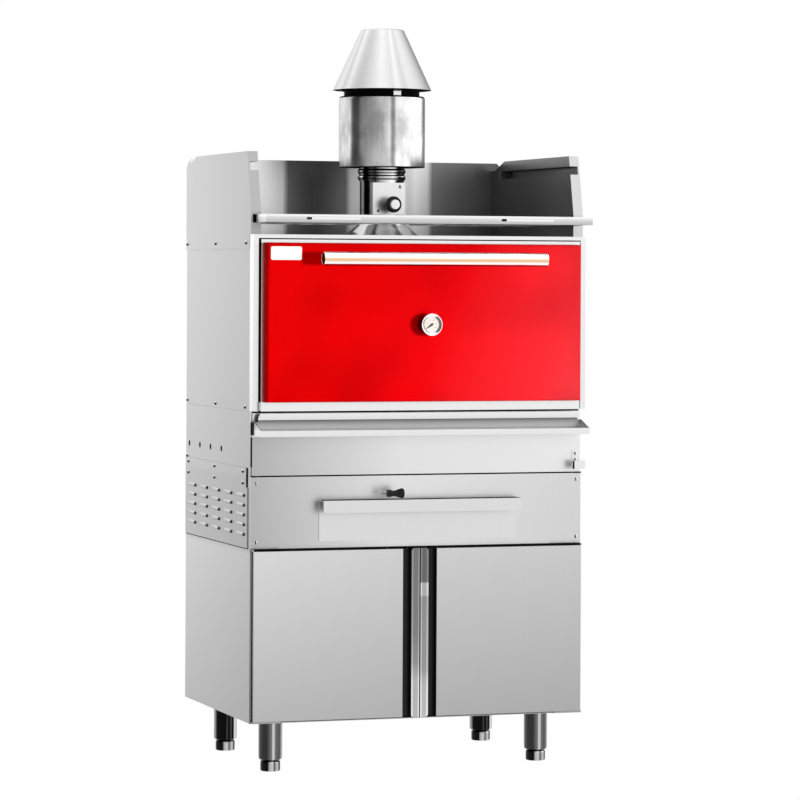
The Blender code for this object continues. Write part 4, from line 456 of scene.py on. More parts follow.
# %% Painted reflections of the round and folded pieces
GUARD_BANDS = greys((-180, "E0"), (-136, "E0"), (-134, "70"), (-46, "70"), (-44, "E0"), (180, "E0"))
PAN_BANDS = greys((-180, "FF"), (-110, "FF"), (-95, "18"), (-75, "18"), (-60, "FF"), (180, "FF"))
LEG_BANDS = greys(
    (-180, "B0"), (-130, "90"), (-112, "30"), (-95, "8A"), (-85, "54"), (-60, "3A"), (-32, "34"),
    (-18, "68"), (-9, "7C"), (-5, "D8"), (3, "C8"), (9, "60"), (16, "78"), (22, "50"), (30, "6C"),
    (38, "40"), (50, "C8"), (60, "28"), (80, "60"), (120, "E0"), (180, "B0"))
BACK_LEG_BANDS = greys(
    (-180, "B0"), (-130, "A0"), (-112, "20"), (-98, "A0"), (-74, "8C"), (-64, "16"), (-12, "10"),
    (-6, "48"), (0, "10"), (10, "18"), (14, "60"), (19, "14"), (30, "18"), (37, "E0"), (50, "E0"),
    (58, "10"), (80, "60"), (120, "E0"), (180, "B0"))
FOOT_BANDS = greys(
    (-180, "A0"), (-130, "C0"), (-112, "10"), (-75, "20"), (-30, "0E"), (-19, "B4"), (0, "C8"),
    (6, "38"), (18, "A4"), (30, "D0"), (42, "30"), (60, "10"), (90, "40"), (120, "D0"), (180, "A0"))
DRUM_BANDS = greys(
    (-180, "C8"), (-122, "C8"), (-109, "40"), (-97, "C4"), (-90, "D6"), (-66, "D6"), (-63, "C4"),
    (-50, "BC"), (-45, "B8"), (-18, "D4"), (-8, "F4"), (-5, "A0"), (-2, "A0"), (1, "FF"),
    (11, "F4"), (13, "FF"), (29, "FF"), (58, "FF"), (64, "90"), (74, "40"), (88, "C0"),
    (180, "C8"))
CAP_BANDS = greys(
    (-180, "D8"), (-124, "D8"), (-112, "60"), (-103, "D8"), (-78, "E8"), (-70, "D4"), (-62, "FF"),
    (-20, "FF"), (-6, "DC"), (0, "E8"), (8, "C8"), (16, "D4"), (40, "B8"), (60, "A8"), (72, "60"),
    (86, "C0"), (180, "D8"))
FLUE_BANDS = greys(
    (-180, "C0"), (-124, "C0"), (-108, "20"), (-92, "30"), (-86, "80"), (-78, "FF"), (-73, "FF"),
    (-70, "10"), (-56, "10"), (-48, "90"), (-34, "30"), (-20, "C0"), (10, "FF"), (30, "60"),
    (45, "E0"), (60, "90"), (74, "30"), (90, "B0"), (180, "C0"))
SKIRT_BANDS = greys((-110, "E0"), (-60, "FF"), (-38, "FF"), (-31, "60"), (-24, "FF"), (0, "E8"),
                    (12, "58"), (20, "FF"), (60, "D0"))
# The case's faces that point left show a painted dark red reflection of the door.
BEZEL_BANDS = [(-95, "181010")]
BEZEL_BANDS += greys((-60, "48"), (-25, "60"), (-12, "FF"), (30, "FF"), (80, "C0"))
# A front screw's dome shows a painted dark crescent towards its left.
FACE_SCREW_BANDS = greys((-90, "FF"), (-34, "FF"), (-22, "10"), (-2, "18"), (8, "E8"), (90, "FF"))

# These are by height, and painted as well. A level tube mirrors the floor, the door and the
# ceiling, one over another. A screw dome is painted dark below and bright on top, and a louvre hood
# lighter on top.
HANDLE_HEIGHTS = [
    (-90, "142020"), (-62, "304848"), (-55, "FFFFFF"), (-26, "FFFFFF"), (-22, "F4CCA8"),
    (4, "F0C49C"), (9, "FFFFFF"), (78, "FFFFFF"), (90, "A09090"),
]
SCREW_HEIGHTS = greys((-90, "08"), (8, "10"), (26, "F0"), (90, "FF"))
HOOD_HEIGHTS = greys((-90, "B0"), (-20, "B8"), (10, "BE"), (40, "D8"), (90, "E4"))
print("stripes round a front leg:", len(LEG_BANDS))

# %% [markdown]
# ## Finishes: brushed sheets
#
# The body is folded from stainless sheet, brushed upright. The front panels are cleaner and more
# even than the side sheets, and the narrow folded strips are the brightest, because a bend polishes
# the steel. One shared material would be shorter. One recipe with painted reflections and shade of
# its own for each panel is used instead, so that the panels differ a little and the seams between
# them read.

# %% Finishes: brushed sheets
# The real lines are 0.05 mm apart. A pixel is 2.4 mm wide here, so they are drawn 1.11 mm apart,
# the finest that still gives the eye a silky change from pixel to pixel.
BRUSHED = grains(1.11, 1.11, 333)
MATERIALS = {}
MATERIALS.update(
    # Belt-brushed sheet: long soft reflections that lose their edges sideways.
    front=steel("brushed stainless steel, front panels", "F8F8F8", 0.32, BRUSHED,
                tones=FRONT_TONES),
    vent=steel("brushed stainless steel, vent panel", "F8F8F8", 0.32, BRUSHED, tones=VENT_TONES),
    door=steel("brushed stainless steel, cabinet doors", "F3F3F3", 0.32, BRUSHED,
               tones=DOOR_TONES),
    drawer=steel("brushed stainless steel, ash drawer", "D7D7D7", 0.32, BRUSHED),
    # The side sheets are rougher, from a coarser belt, so their reflections are wider.
    side=steel("brushed stainless steel, side sheets", "E3E3E3", 0.36, BRUSHED, tones=SIDE_TONES),
    # Louvre hoods: painted lighter on their upper faces and darker below.
    hood=steel("brushed stainless steel, louvres", "F4F4F4", 0.36, BRUSHED, heights=HOOD_HEIGHTS),
    # Painted reflections: the right guard's inner wall carries stripes of what it mirrors. The deck
    # in the well between the walls is painted dark grey for its shade, and the back sheet carries
    # painted bands of reflection and shade.
    guard_right=steel("brushed stainless steel, right guard", "E3E3E3", 0.3, BRUSHED,
                      bands=GUARD_BANDS),
    well=steel("brushed stainless steel, inside the top guard", "707070", 0.3, BRUSHED),
    back=steel("brushed stainless steel, guard's back sheet", "E8E8E8", 0.3, BRUSHED,
               tones=BACK_TONES, front_only=True),
    # Folding polishes the sheet along the bend: brighter, and with a tighter highlight.
    bright=steel("bright stainless steel, folded edges", "DEDEDE", 0.25, BRUSHED),
    # The shelf, the ledge tray and the door pan carry painted reflections and shade too.
    rail=steel("bright stainless steel, top shelf", "E4E4E4", 0.25, BRUSHED, tones=RAIL_TONES),
    tray=steel("bright stainless steel, ledge tray", "F4F4F4", 0.3, BRUSHED, tones=TRAY_TONES),
    pan=steel("folded stainless steel, door pan", "E2E2E2", 0.25, BRUSHED, bands=PAN_BANDS),
    strap=steel("rolled stainless steel, cap straps", "E0E0E0", 0.3, BRUSHED),
)
print("sheet finishes:", len(MATERIALS))

# %% [markdown]
# ## Finishes: tubes, turned metal and the chimney
#
# Tube is drawn through a die, so its lines run along it, and it is smoother than sheet. The feet,
# the thermometer's case and the screws are plated, which hides the metal's grain and leaves a hard
# mirror. The chimney's sheets are rolled, and heat has clouded the drum. The stripes that these
# pieces mirror are painted into their colour.

# %% Finishes: tubes, turned metal and the chimney
DRAWN_UPRIGHT = grains(1.667, 1.667, 333)  # die lines, real ones 0.1 mm apart, coarsened to show
DRAWN_LEVEL = grains(333, 2, 2)
PLATED = grains(16.7, 16.7, 16.7)  # the slow orange-peel waves of a plated surface
MATERIALS.update(
    # Drawn tube: painted reflections, narrow bright and dark stripes that run its whole length. The
    # back legs are painted darker for the shade under the cabinet.
    leg=steel("brushed steel tube, legs", "FFFFFF", 0.2, DRAWN_UPRIGHT, 0.15, 0.01,
              bands=LEG_BANDS),
    back_leg=steel("brushed steel tube, back legs", "FFFFFF", 0.2, DRAWN_UPRIGHT, 0.15, 0.01,
                   bands=BACK_LEG_BANDS),
    # The handle carries painted reflections of the floor, the door and the ceiling.
    handle=steel("polished steel tube", "FFFFFF", 0.12, DRAWN_LEVEL, 0.03, 0.005,
                 heights=HANDLE_HEIGHTS),
    # Chrome plate: a mirror, with hard-edged black and white painted in as its reflections.
    foot=steel("chrome plate, screw feet", "FFFFFF", 0.1, PLATED, 0.05, 0.0, bands=FOOT_BANDS),
    chrome=plain("chrome plate", "FFFFFF", 0.1, Metallic=1.0),
    bezel=steel("chrome plate, thermometer case", "FFFFFF", 0.12, PLATED, 0.02, 0.0,
                bands=BEZEL_BANDS),
    # Zinc plate: pale, with painted shade on the lower side of each dome and a painted highlight on
    # top.
    screw=plain("zinc-plated screw", "E8E8E8", 0.2, heights=SCREW_HEIGHTS, Metallic=1.0),
    face_screw=steel("zinc-plated screw, front", "FFFFFF", 0.2, PLATED, 0.02, 0.0,
                     bands=FACE_SCREW_BANDS),
    # Rolled sheet: painted stripes of reflection as on a tube, softened where it is dull.
    flue=steel("rolled stainless steel, flue", "E8E8E8", 0.15, ROLLED, 0.2, 0.01,
               bands=FLUE_BANDS),
    drum=sooty_and_shaded("rolled stainless steel, spark arrestor", "F4F4F4", 0.2, DRUM_RADIUS, DRUM_FOOT_Z,
               0.0, DRUM_BANDS, "CCCCCC"),
    cap=sooty_and_shaded("rolled stainless steel, cone cap", "FFFFFF", 0.5, CAP_RIM, CAP_RIM_Z, CAP_SLOPE,
              CAP_BANDS),
    # Spun over a form and left satin: partly matt, so only partly a mirror, with painted stripes of
    # reflection.
    skirt=steel("spun stainless steel, flue skirt", "F8F8F8", 0.15, PLATED, 0.1, 0.01,
                bands=SKIRT_BANDS, metallic=0.4),
    # Extruded aluminium, anodised: paler than steel, and satin, with painted shade in its channels.
    aluminium_left=steel("anodised aluminium, left grip", "F0F0F0", 0.22, BRUSHED,
                         tones=LEFT_GRIP_TONES),
    aluminium_right=steel("anodised aluminium, right grip", "F0F0F0", 0.22, BRUSHED,
                          tones=RIGHT_GRIP_TONES),
)
print("finishes with tubes and chimney:", len(MATERIALS))

# %% [markdown]
# ## Finishes: enamel, plastic, iron and fibre
#
# The door's red is enamel fired onto steel: the colour lies under clear glass, so a clear coat adds
# the gloss and the base has no shine of its own. The knobs are heat-proof plastic. Inside are cast
# iron grates and glass and ceramic fibre, all dark. The fibre lies in shade and is painted near
# black for it.

# %% Finishes: enamel, plastic, iron and fibre
MATERIALS.update(
    # Vitreous enamel: deep colour under a thin sharp gloss, with painted light towards its lower
    # right.
    red=plain("red vitreous enamel", "E00003", 0.1, RED_TONES, Specular_IOR_Level=0.0,
              Coat_Weight=0.03, Coat_Roughness=0.02),
    # Lacquers: even colour, with a soft or a tight highlight.
    white=plain("white lacquer", "FFFFFF", 0.3),
    silver=plain("satin silver lacquer", "EEEEEE", 0.4),
    # The end plugs are painted dark red for the door's reflection in the tube's ends.
    plug=plain("dark lacquered end plug", "500808", 0.5, Specular_IOR_Level=0.0),
    # Printed card behind thin glass.
    dial=plain("printed dial card", "F4E8E0", 0.5),
    print=plain("brown dial print", "A06848", 0.6),
    needle=plain("dark brown needle", "1A0804", 0.4),
    glass=plain("thin clear glass", "FFFFFF", 0.02, Alpha=0.04, Specular_IOR_Level=0.2),
    # Moulded plastic: black, with one soft highlight on each round.
    black=plain("black moulded plastic", "030303", 0.35, Specular_IOR_Level=0.25),
    # Sand-cast iron: grey-brown and dull.
    iron=plain("cast iron", "2A2826", 0.7, Metallic=0.6),
    # Painted shade: the fibre, the strips in the seams and the spark mesh are near black for the
    # shade that they lie in.
    blanket=plain("ceramic fibre blanket in black glass cloth", "060606", 0.9,
                  Specular_IOR_Level=0.1),
    seal=plain("woven glass seal", "2A2826", 0.9),
    # Painted shade: black strips in the seams and gaps, and black discs in the side air holes.
    sealant=plain("black heat-proof sealant", "020202", 0.8, Specular_IOR_Level=0.1),
    # Painted shade: the spark mesh is near black for the deep shade behind it.
    mesh=plain("sooty spark mesh", "020202", 0.9, Specular_IOR_Level=0.1),
)
print("materials:", len(MATERIALS))

# %% [markdown]
# ## Finishes of the CAD nodes
#
# Every CAD node shows one finish. They could be set one by one in the editor. A table by finish is
# shorter, and shows at a glance which sheets match. A node that the table leaves out is a front
# sheet.

# %% Finishes of the CAD nodes
CORNERS = ("front_left", "front_right", "back_left", "back_right")
NODES_BY_FINISH = {
    "black": ["air_lever_knob", "damper_knob", "grip_channel_left", "grip_channel_right"],
    "white": ["blank_plate"],
    "iron": ["charcoal_grate", "grill_grate"],
    # The fibre blanket and the door's insulation are painted near black for the shade inside.
    "blanket": ["door_insulation", "insulation_blanket"],
    "red": ["door_red_panel"],
    "seal": ["door_seal"],
    "aluminium_left": ["grip_strip_left"],
    "aluminium_right": ["grip_strip_right"],
    "drawer": ["ash_drawer_front"],
    "pan": ["door_pan"],
    "chrome": ["thermometer_case"] + ["foot_" + corner for corner in CORNERS],
    "dial": ["thermometer_dial"],
    "glass": ["thermometer_glass"],
    "needle": ["thermometer_needle"],
    "door": ["cabinet_door_left", "cabinet_door_right"],
    "tray": ["ledge_tray"],
    "rail": ["top_shelf"],
    "vent": ["vent_front_panel"],
    "bright": ["door_frame"],
    "side": ["louvre_plate_left", "louvre_plate_right", "firebox_side_left", "firebox_side_right",
             "oven_side_left", "oven_side_right", "surround_left", "vent_casing", "back_panel",
             "base_cabinet"] + ["leg_" + corner for corner in CORNERS],
    "guard_right": ["surround_right"],
    "back": ["surround_back"],
    # The deck inside the guard is painted dark grey for its shade.
    "well": ["deck"],
}
FINISH_OF = {node: finish for finish, nodes in NODES_BY_FINISH.items() for node in nodes}

for name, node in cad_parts.items():
    node.data.materials.clear()
    node.data.materials.append(MATERIALS[FINISH_OF.get(name, "front")])
print("nodes with a finish of their own:", len(FINISH_OF), "of", len(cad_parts))


# %% [markdown]
# ## Outlines
#
# Sheet and turned metal have small rounds at every corner, and they catch the light. A Bevel
# modifier could add them. Here an outline is rounded before it is turned or drawn, because each
# corner then has its own radius and the mesh is final.

# %% Outlines
def bent_corner(last, here, following, cut, share):
    """Points of one corner: (1-s)^2 start + 2 s (1-s) corner + s^2 end."""
    back, ahead = last - here, following - here
    start = here + back * min(cut / np.linalg.norm(back), 0.5)
    end = here + ahead * min(cut / np.linalg.norm(ahead), 0.5)
    return (1 - share) ** 2 * start + 2 * share * (1 - share) * here + share**2 * end


def rounded(points, radius, steps=5, closed=False):
    """A polyline whose corners are arcs that touch both sides, drawn as quadratic curves."""
    points = np.asarray(points, float)
    before, after = np.roll(points, 1, 0), np.roll(points, -1, 0)
    reach = np.full(len(points), radius) if np.isscalar(radius) else np.asarray(radius, float)
    share = np.linspace(0, 1, steps + 1)[:, None]
    made = []
    for last, here, following, cut in zip(before, points, after, reach):
        made.append(here[None] if cut == 0 else bent_corner(last, here, following, cut, share))
    if not closed:
        made[0], made[-1] = points[:1], points[-1:]
    return np.concatenate(made)


def rounded_rectangle(width, height, radius, steps=6):
    """Four quarter circles about a rectangle's corners: centre + radius (cos a, sin a)."""
    half_w, half_h = width / 2 - radius, height / 2 - radius
    angle = np.linspace(0, np.pi / 2, steps + 1)
    arcs = []
    for quarter, (sx, sy) in enumerate(((1, 1), (-1, 1), (-1, -1), (1, -1))):
        a = angle + quarter * np.pi / 2
        arcs.append(
            np.stack([sx * half_w + radius * np.cos(a), sy * half_h + radius * np.sin(a)], -1)
        )
    return np.concatenate(arcs)


print("points round a plate:", len(rounded_rectangle(0.04, 0.02, 0.004)))


# %% [markdown]
# ## From outlines to pieces
#
# A ring is an outline in space. A piece joins each ring to the next with four-sided faces, and
# closes the first and last ring. Turned pieces could use the Screw modifier. A grid of points
# worked out at once is as short, and leaves each piece at the origin with its place in its mesh.

# %% From outlines to pieces
def piece(name, points, faces, material, body, smooth=40):
    """A mesh object that rides on a body. Edges sharper than the angle smooth stay sharp."""
    mesh = bpy.data.meshes.new(name)
    mesh.from_pydata(np.asarray(points, float).reshape(-1, 3).tolist(), [], faces)
    mesh.update()
    mesh.shade_smooth()
    mesh.set_sharp_from_angle(angle=math.radians(smooth))
    mesh.materials.append(MATERIALS[material])
    made = bpy.data.objects.new(name, mesh)
    bpy.context.scene.collection.objects.link(made)
    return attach(made, body)


def grid_faces(rows, columns, loops=False):
    """Faces of a grid of rows by columns whose columns close round. loops also closes the rows."""
    row, column = np.meshgrid(
        np.arange(rows if loops else rows - 1), np.arange(columns), indexing="ij"
    )
    right, below = (column + 1) % columns, (row + 1) % rows
    corners = [row * columns + column, row * columns + right, below * columns + right]
    corners.append(below * columns + column)
    return np.stack(corners, -1).reshape(-1, 4).tolist()


def loft(name, rings, material, body, smooth=40):
    """A closed piece through rings of equal length, shape (rings, points, 3)."""
    rings = np.asarray(rings, float)
    rows, columns = rings.shape[:2]
    faces = grid_faces(rows, columns)
    faces.append(list(range(columns - 1, -1, -1)))
    faces.append(list(range((rows - 1) * columns, rows * columns)))
    return piece(name, rings, faces, material, body, smooth)


print("a grid of 3 rings of 4 points has", len(grid_faces(3, 4)), "faces")

# %% Turned pieces
UP = Matrix.Identity(3)
AHEAD = Matrix(((1, 0, 0), (0, 0, -1), (0, 1, 0)))  # a height along +Z becomes a place along -Y
ACROSS = Matrix(((0, 0, 1), (0, 1, 0), (-1, 0, 0)))  # a height along +Z becomes a place along +X
PIN = 1 * MM  # the hole that a turned outline leaves at its axis, which the cap closes


def spin(profile, centre, facing=UP, sides=96):
    """Rings of (radius, height) points turned about an axis: x = r cos a, y = r sin a, z = h."""
    radius, height = np.asarray(profile, float).T
    angle = np.linspace(0, 2 * np.pi, sides, endpoint=False)
    flat = np.ones(sides)
    rings = np.stack(
        [np.outer(radius, np.cos(angle)), np.outer(radius, np.sin(angle)), np.outer(height, flat)],
        -1,
    )
    return rings @ np.array(facing).T + np.array(centre)


def turn(name, profile, centre, material, body, facing=UP, sides=96, closed=False, smooth=40):
    """A turned piece. A closed profile joins its last point to its first, as a tube's wall does."""
    rings = spin(profile, centre, facing, sides)
    if not closed:
        return loft(name, rings, material, body, smooth)
    faces = grid_faces(*rings.shape[:2], loops=True)
    return piece(name, rings, faces, material, body, smooth)


print("a turned ring of 96 sides strays", round((1 - math.cos(math.pi / 96)) * 1000, 2),
      "mm per metre of radius from a true circle")

# %% [markdown]
# ## Legs and screw feet
#
# Each leg is a tube whose lower end is rolled in, round the stem of a chromed foot. The foot screws
# up and down to level the oven. A cylinder with a bevel would do for the tube, but the foot has a
# chamfer, a shoulder and a stem, so both are turned outlines. The stem hides inside the leg.

# %% Legs and screw feet
STEM, STEM_HOLE, TOP_HOLE, ROLLED_END = mm(8, 9, 20, 7)
FOOT_TOP, CHAMFER = mm(26.5, 3.5)

for corner in CORNERS:
    low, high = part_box("leg_" + corner)
    axis = ((low.x + high.x) / 2, (low.y + high.y) / 2, 0)
    radius = (high.x - low.x) / 2
    outline = rounded(
        [(STEM_HOLE, low.z), (radius, low.z), (radius, high.z), (TOP_HOLE, high.z)],
        (0, ROLLED_END, 0, 0),
    )
    finish = "back_leg" if "back" in corner else "leg"
    leg = turn("leg_tube_" + corner, outline, axis, finish, "root")
    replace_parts(leg, "leg_" + corner)

    low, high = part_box("foot_" + corner)
    radius = (high.x - low.x) / 2
    outline = rounded(
        [(PIN, 0), (radius - 1 * MM, 0), (radius, CHAMFER), (radius, FOOT_TOP - CHAMFER),
         (radius - CHAMFER, FOOT_TOP - 1 * MM), (STEM, FOOT_TOP), (STEM, high.z), (PIN, high.z)],
        mm(0, 2.5, 2, 3, 1, 0, 0, 0),
    )
    foot = turn("foot_turned_" + corner, outline, axis, "foot", "foot_" + corner)
    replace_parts(foot, "foot_" + corner)
print("legs:", len(CORNERS), "foot radius in mm:", round(radius * 1000, 1))

# %% [markdown]
# ## Flue pipe and skirt
#
# Smoke leaves through a steel pipe. A spun skirt covers the hole that it comes through and keeps
# drips off the deck. Both are hollow sheet, so their outlines run up the outside and down the
# inside, and close on themselves.

# %% Flue pipe and skirt
FLUE_AXIS = (0, AXIS_Y, 0)
FLUE_RADIUS, FLUE_SHEET = mm(55, 1.5)
low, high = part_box("flue_pipe")
bore = FLUE_RADIUS - FLUE_SHEET
outline = [(bore, low.z), (FLUE_RADIUS, low.z), (FLUE_RADIUS, high.z), (bore, high.z)]
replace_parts(turn("flue_tube", outline, FLUE_AXIS, "flue", "root", closed=True), "flue_pipe")

NECK, NECK_HEIGHT, SKIRT_SHEET, FLANGE = mm(57.8, 10, 1.8, 2)
low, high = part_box("flue_cone")
radius, hip = high.x, high.z - NECK_HEIGHT
outline = rounded(
    [(radius, low.z), (radius, low.z + FLANGE), (radius - 2 * FLANGE, low.z + FLANGE), (NECK, hip),
     (NECK, high.z), (NECK - SKIRT_SHEET, high.z), (NECK - SKIRT_SHEET, hip - FLANGE),
     (radius - 3 * FLANGE, low.z)],
    mm(0, 0.8, 4, 8, 0.5, 0.5, 6, 0), closed=True,
)
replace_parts(turn("flue_skirt", outline, FLUE_AXIS, "skirt", "root", closed=True), "flue_cone")
print("skirt from", round(low.z, 4), "to", round(high.z, 4))

# %% [markdown]
# ## Spark arrestor
#
# The arrestor is a drum that slows the smoke, so that sparks die before they leave. It sits on a
# collar with two pressed beads, which stiffen it and let it grip the pipe. The beads could be two
# rings laid on, but a pressed bead flows into its sheet, so it is part of the collar's outline: a
# half wave of rise sin(a) over a height of 1 - cos(a).

# %% Spark arrestor
COLLAR, COLLAR_BORE, COLLAR_GAP = mm(57.2, 55.8, 0.2)
BEAD_RISE, BEAD_HALF, BEAD_PITCH, FIRST_BEAD = mm(3.2, 6.25, 15.5, 3)
DRUM_SHEET = 1.5 * MM
beads = [
    (COLLAR + BEAD_RISE * math.sin(a),
     drum_low.z + FIRST_BEAD + index * BEAD_PITCH + BEAD_HALF * (1 - math.cos(a)))
    for index in range(2)
    for a in np.linspace(0, np.pi, 9)
]
outline = np.concatenate([
    [(COLLAR_BORE, drum_low.z), (COLLAR, drum_low.z)], beads,
    [(COLLAR, DRUM_FOOT_Z - COLLAR_GAP), (COLLAR_BORE, DRUM_FOOT_Z - COLLAR_GAP)],
])
turn("arrestor_collar", outline, FLUE_AXIS, "flue", "root", closed=True)

# The drum's skin: up the outside, over the rolled shoulder, and down the inside.
skin = rounded(
    [(DRUM_RADIUS - 1 * MM, DRUM_FOOT_Z), (DRUM_RADIUS, DRUM_FOOT_Z + 1 * MM),
     (DRUM_RADIUS, DRUM_TOP_Z), (DRUM_RADIUS - 12 * MM, DRUM_TOP_Z),
     (DRUM_RADIUS - 11.5 * MM, DRUM_TOP_Z - 3 * MM), (DRUM_RADIUS - 2.5 * MM, DRUM_TOP_Z - 4 * MM),
     (DRUM_RADIUS - DRUM_SHEET, DRUM_FOOT_Z + DRUM_SHEET)],
    mm(0, 0, 11, 0, 0, 8, 0), 8,
)
outline = np.concatenate(
    [[(COLLAR_BORE, DRUM_FOOT_Z)], skin, [(COLLAR_BORE, DRUM_FOOT_Z + DRUM_SHEET)]]
)
drum = turn("arrestor_drum", outline, FLUE_AXIS, "drum", "root", closed=True)
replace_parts(drum, "spark_arrestor")
print("drum", round(DRUM_TOP_Z - DRUM_FOOT_Z, 4), "tall, collar beads:", len(beads), "points")

# %% [markdown]
# ## Cone cap, straps and spark mesh
#
# The cap keeps rain out of the chimney. It stands on three bent straps, and smoke leaves through
# the gap between them, behind a fine mesh. Each strap is a flat bar carried along a bent line. The
# mesh's holes are under 1 mm and lie in deep shade, so a thin dark band stands for it.

# %% Cone cap, straps and spark mesh
CAP_SHEET, CAP_TOP_SHEET = mm(1.7, 1.5)
STRAP_RADIUS, STRAP_INSET, STRAP_HALF, STRAP_SHEET = mm(96.2, 3.7, 10, 1.5)
STRAP_FOOT_Z = DRUM_TOP_Z - 36 * MM  # the straps are held inside the drum
STRAP_BEND_Z, STRAP_CAP_Z, STRAP_TOP_Z = CAP_RIM_Z + mm(-4, 6, 30)
FIRST_STRAP, STRAPS = math.radians(35), 3
MESH_RADIUS, MESH_SHEET = mm(94, 0.5)
MESH_TOP_Z = CAP_RIM_Z + 18 * MM

outline = rounded(
    [(CAP_RIM, CAP_RIM_Z), (CAP_CROWN, CAP_TOP_Z), (2 * MM, CAP_TOP_Z),
     (2 * MM, CAP_TOP_Z - CAP_TOP_SHEET), (CAP_CROWN - CAP_SHEET, CAP_TOP_Z - CAP_TOP_SHEET),
     (CAP_RIM - CAP_SHEET, CAP_RIM_Z)],
    mm(0.3, 3, 0, 0, 3, 0.3), 4, closed=True,
)
cap = turn("cap_cone", outline, FLUE_AXIS, "cap", "root", closed=True, smooth=30)
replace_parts(cap, "cone_cap")

under_cap = [CAP_RIM - STRAP_INSET - (z - CAP_RIM_Z) * CAP_SLOPE
             for z in (STRAP_CAP_Z, STRAP_TOP_Z)]
bend = rounded(
    [(STRAP_RADIUS, STRAP_FOOT_Z), (STRAP_RADIUS, STRAP_BEND_Z), (under_cap[0], STRAP_CAP_Z),
     (under_cap[1], STRAP_TOP_Z)],
    mm(0, 4, 5, 0), 5,
)
for index in range(STRAPS):
    angle = FIRST_STRAP + index * math.tau / STRAPS
    out = np.array([math.cos(angle), math.sin(angle), 0])
    width = np.array([-math.sin(angle), math.cos(angle), 0]) * STRAP_HALF
    line = bend[:, :1] * out + bend[:, 1:] * np.array([0, 0, 1]) + np.array(FLUE_AXIS)
    ring = np.array([width, -width, -width - STRAP_SHEET * out, width - STRAP_SHEET * out])
    loft(f"cap_strap_{index + 1}", line[:, None] + ring, "strap", "root")

outline = [(MESH_RADIUS - MESH_SHEET, STRAP_FOOT_Z), (MESH_RADIUS, STRAP_FOOT_Z),
           (MESH_RADIUS, MESH_TOP_Z), (MESH_RADIUS - MESH_SHEET, MESH_TOP_Z)]
turn("spark_mesh", outline, FLUE_AXIS, "mesh", "root", closed=True)
print("straps:", STRAPS, "strap height", round(STRAP_TOP_Z - STRAP_FOOT_Z, 4))


# %% [markdown]
# ## Door handle and the plain plate
#
# The handle is a polished tube with a plug in each end, held off the hot door by two posts. The
# white plate beside it is flat, with round corners and a softened front edge. A cube with a Bevel
# modifier gives one radius to all edges, so the plate is drawn as rings that shrink towards the
# front by a quarter circle.

# %% Door handle
TUBE_RADIUS, TUBE_WALL, HANDLE_Z = 16 * MM, 2 * MM, 1.246
PLUG_RADIUS, PLUG_DEPTH, PLUG_INSET = mm(13.8, 4, 0.4)
POST_FLANGE, POST_RADIUS, POST_FLANGE_DEPTH = mm(13, 8, 3)
POST_X = 0.2
low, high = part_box("handle_tube")
handle_y = low.y + TUBE_RADIUS
outline = rounded(
    [(TUBE_RADIUS - TUBE_WALL, low.x), (TUBE_RADIUS, low.x), (TUBE_RADIUS, high.x),
     (TUBE_RADIUS - TUBE_WALL, high.x)],
    0.6 * MM, 3, closed=True,
)
tube = turn("handle_bar", outline, (0, handle_y, HANDLE_Z), "handle", "oven_door", ACROSS,
            closed=True)
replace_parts(tube, "handle_tube")

panel_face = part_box("door_red_panel")[0].y
POST_END = 0.8  # a post reaches this share of the tube's radius short of the tube's axis
reach = panel_face - handle_y - TUBE_RADIUS * POST_END
outline = rounded(
    [(PIN, 0), (POST_FLANGE, 0), (POST_FLANGE, POST_FLANGE_DEPTH),
     (POST_RADIUS, POST_FLANGE_DEPTH + 1 * MM), (POST_RADIUS, reach), (PIN, reach)],
    mm(0, 0.5, 1, 2, 0, 0), 3,
)
for side, side_name in SIDES:
    turn("handle_post_" + side_name, outline, (side * POST_X, panel_face, HANDLE_Z), "handle",
         "oven_door", AHEAD, 48)

outline = rounded(
    [(PIN / 2, 0), (PLUG_RADIUS, 0), (PLUG_RADIUS, PLUG_DEPTH), (PIN / 2, PLUG_DEPTH)],
    mm(0, 1, 1, 0),
)
# Each end plug is painted dark red for the door's reflection in the tube's end.
for side_name, x in (("left", low.x + PLUG_INSET), ("right", high.x - PLUG_INSET - PLUG_DEPTH)):
    turn("handle_plug_" + side_name, outline, (x, handle_y, HANDLE_Z), "plug", "oven_door", ACROSS)
print("handle", round(high.x - low.x, 4), "long")


# %% Plain plate
def slab(name, low, high, corner, edge, material, body, steps=4):
    """A flat panel that faces -Y, its front edge a quarter circle: inset edge (1 - cos a), depth
    edge (1 - sin a)."""
    (x0, y0, z0), (x1, y1, z1) = low, high
    middle = np.array([(x0 + x1) / 2, (z0 + z1) / 2])
    rings = []
    places = [(0.0, y1)] + [
        (edge * (1 - math.cos(a)), y0 + edge * (1 - math.sin(a)))
        for a in np.linspace(0, math.pi / 2, steps + 1)
    ]
    for inset, depth in places:
        flat = rounded_rectangle(x1 - x0 - 2 * inset, z1 - z0 - 2 * inset, corner) + middle
        rings.append(np.stack([flat[:, 0], np.full(len(flat), depth), flat[:, 1]], -1))
    return loft(name, rings, material, body)


PLATE_CORNER, PLATE_EDGE = mm(4, 0.7)
low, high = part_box("blank_plate")
plate = slab("plain_plate", low, high, PLATE_CORNER, PLATE_EDGE, "white", "oven_door")
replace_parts(plate, "blank_plate")
print("plate", round(high.x - low.x, 4), "by", round(high.z - low.z, 4))

# %% [markdown]
# ## Door thermometer: case
#
# A chromed case holds the dial away from the hot door. Its outline steps in at the back, rounds
# over at the rim and drops to the dial. It is turned as one piece, and its painted reflections give
# the bright ring and the dark inner wall that the eye takes for depth.

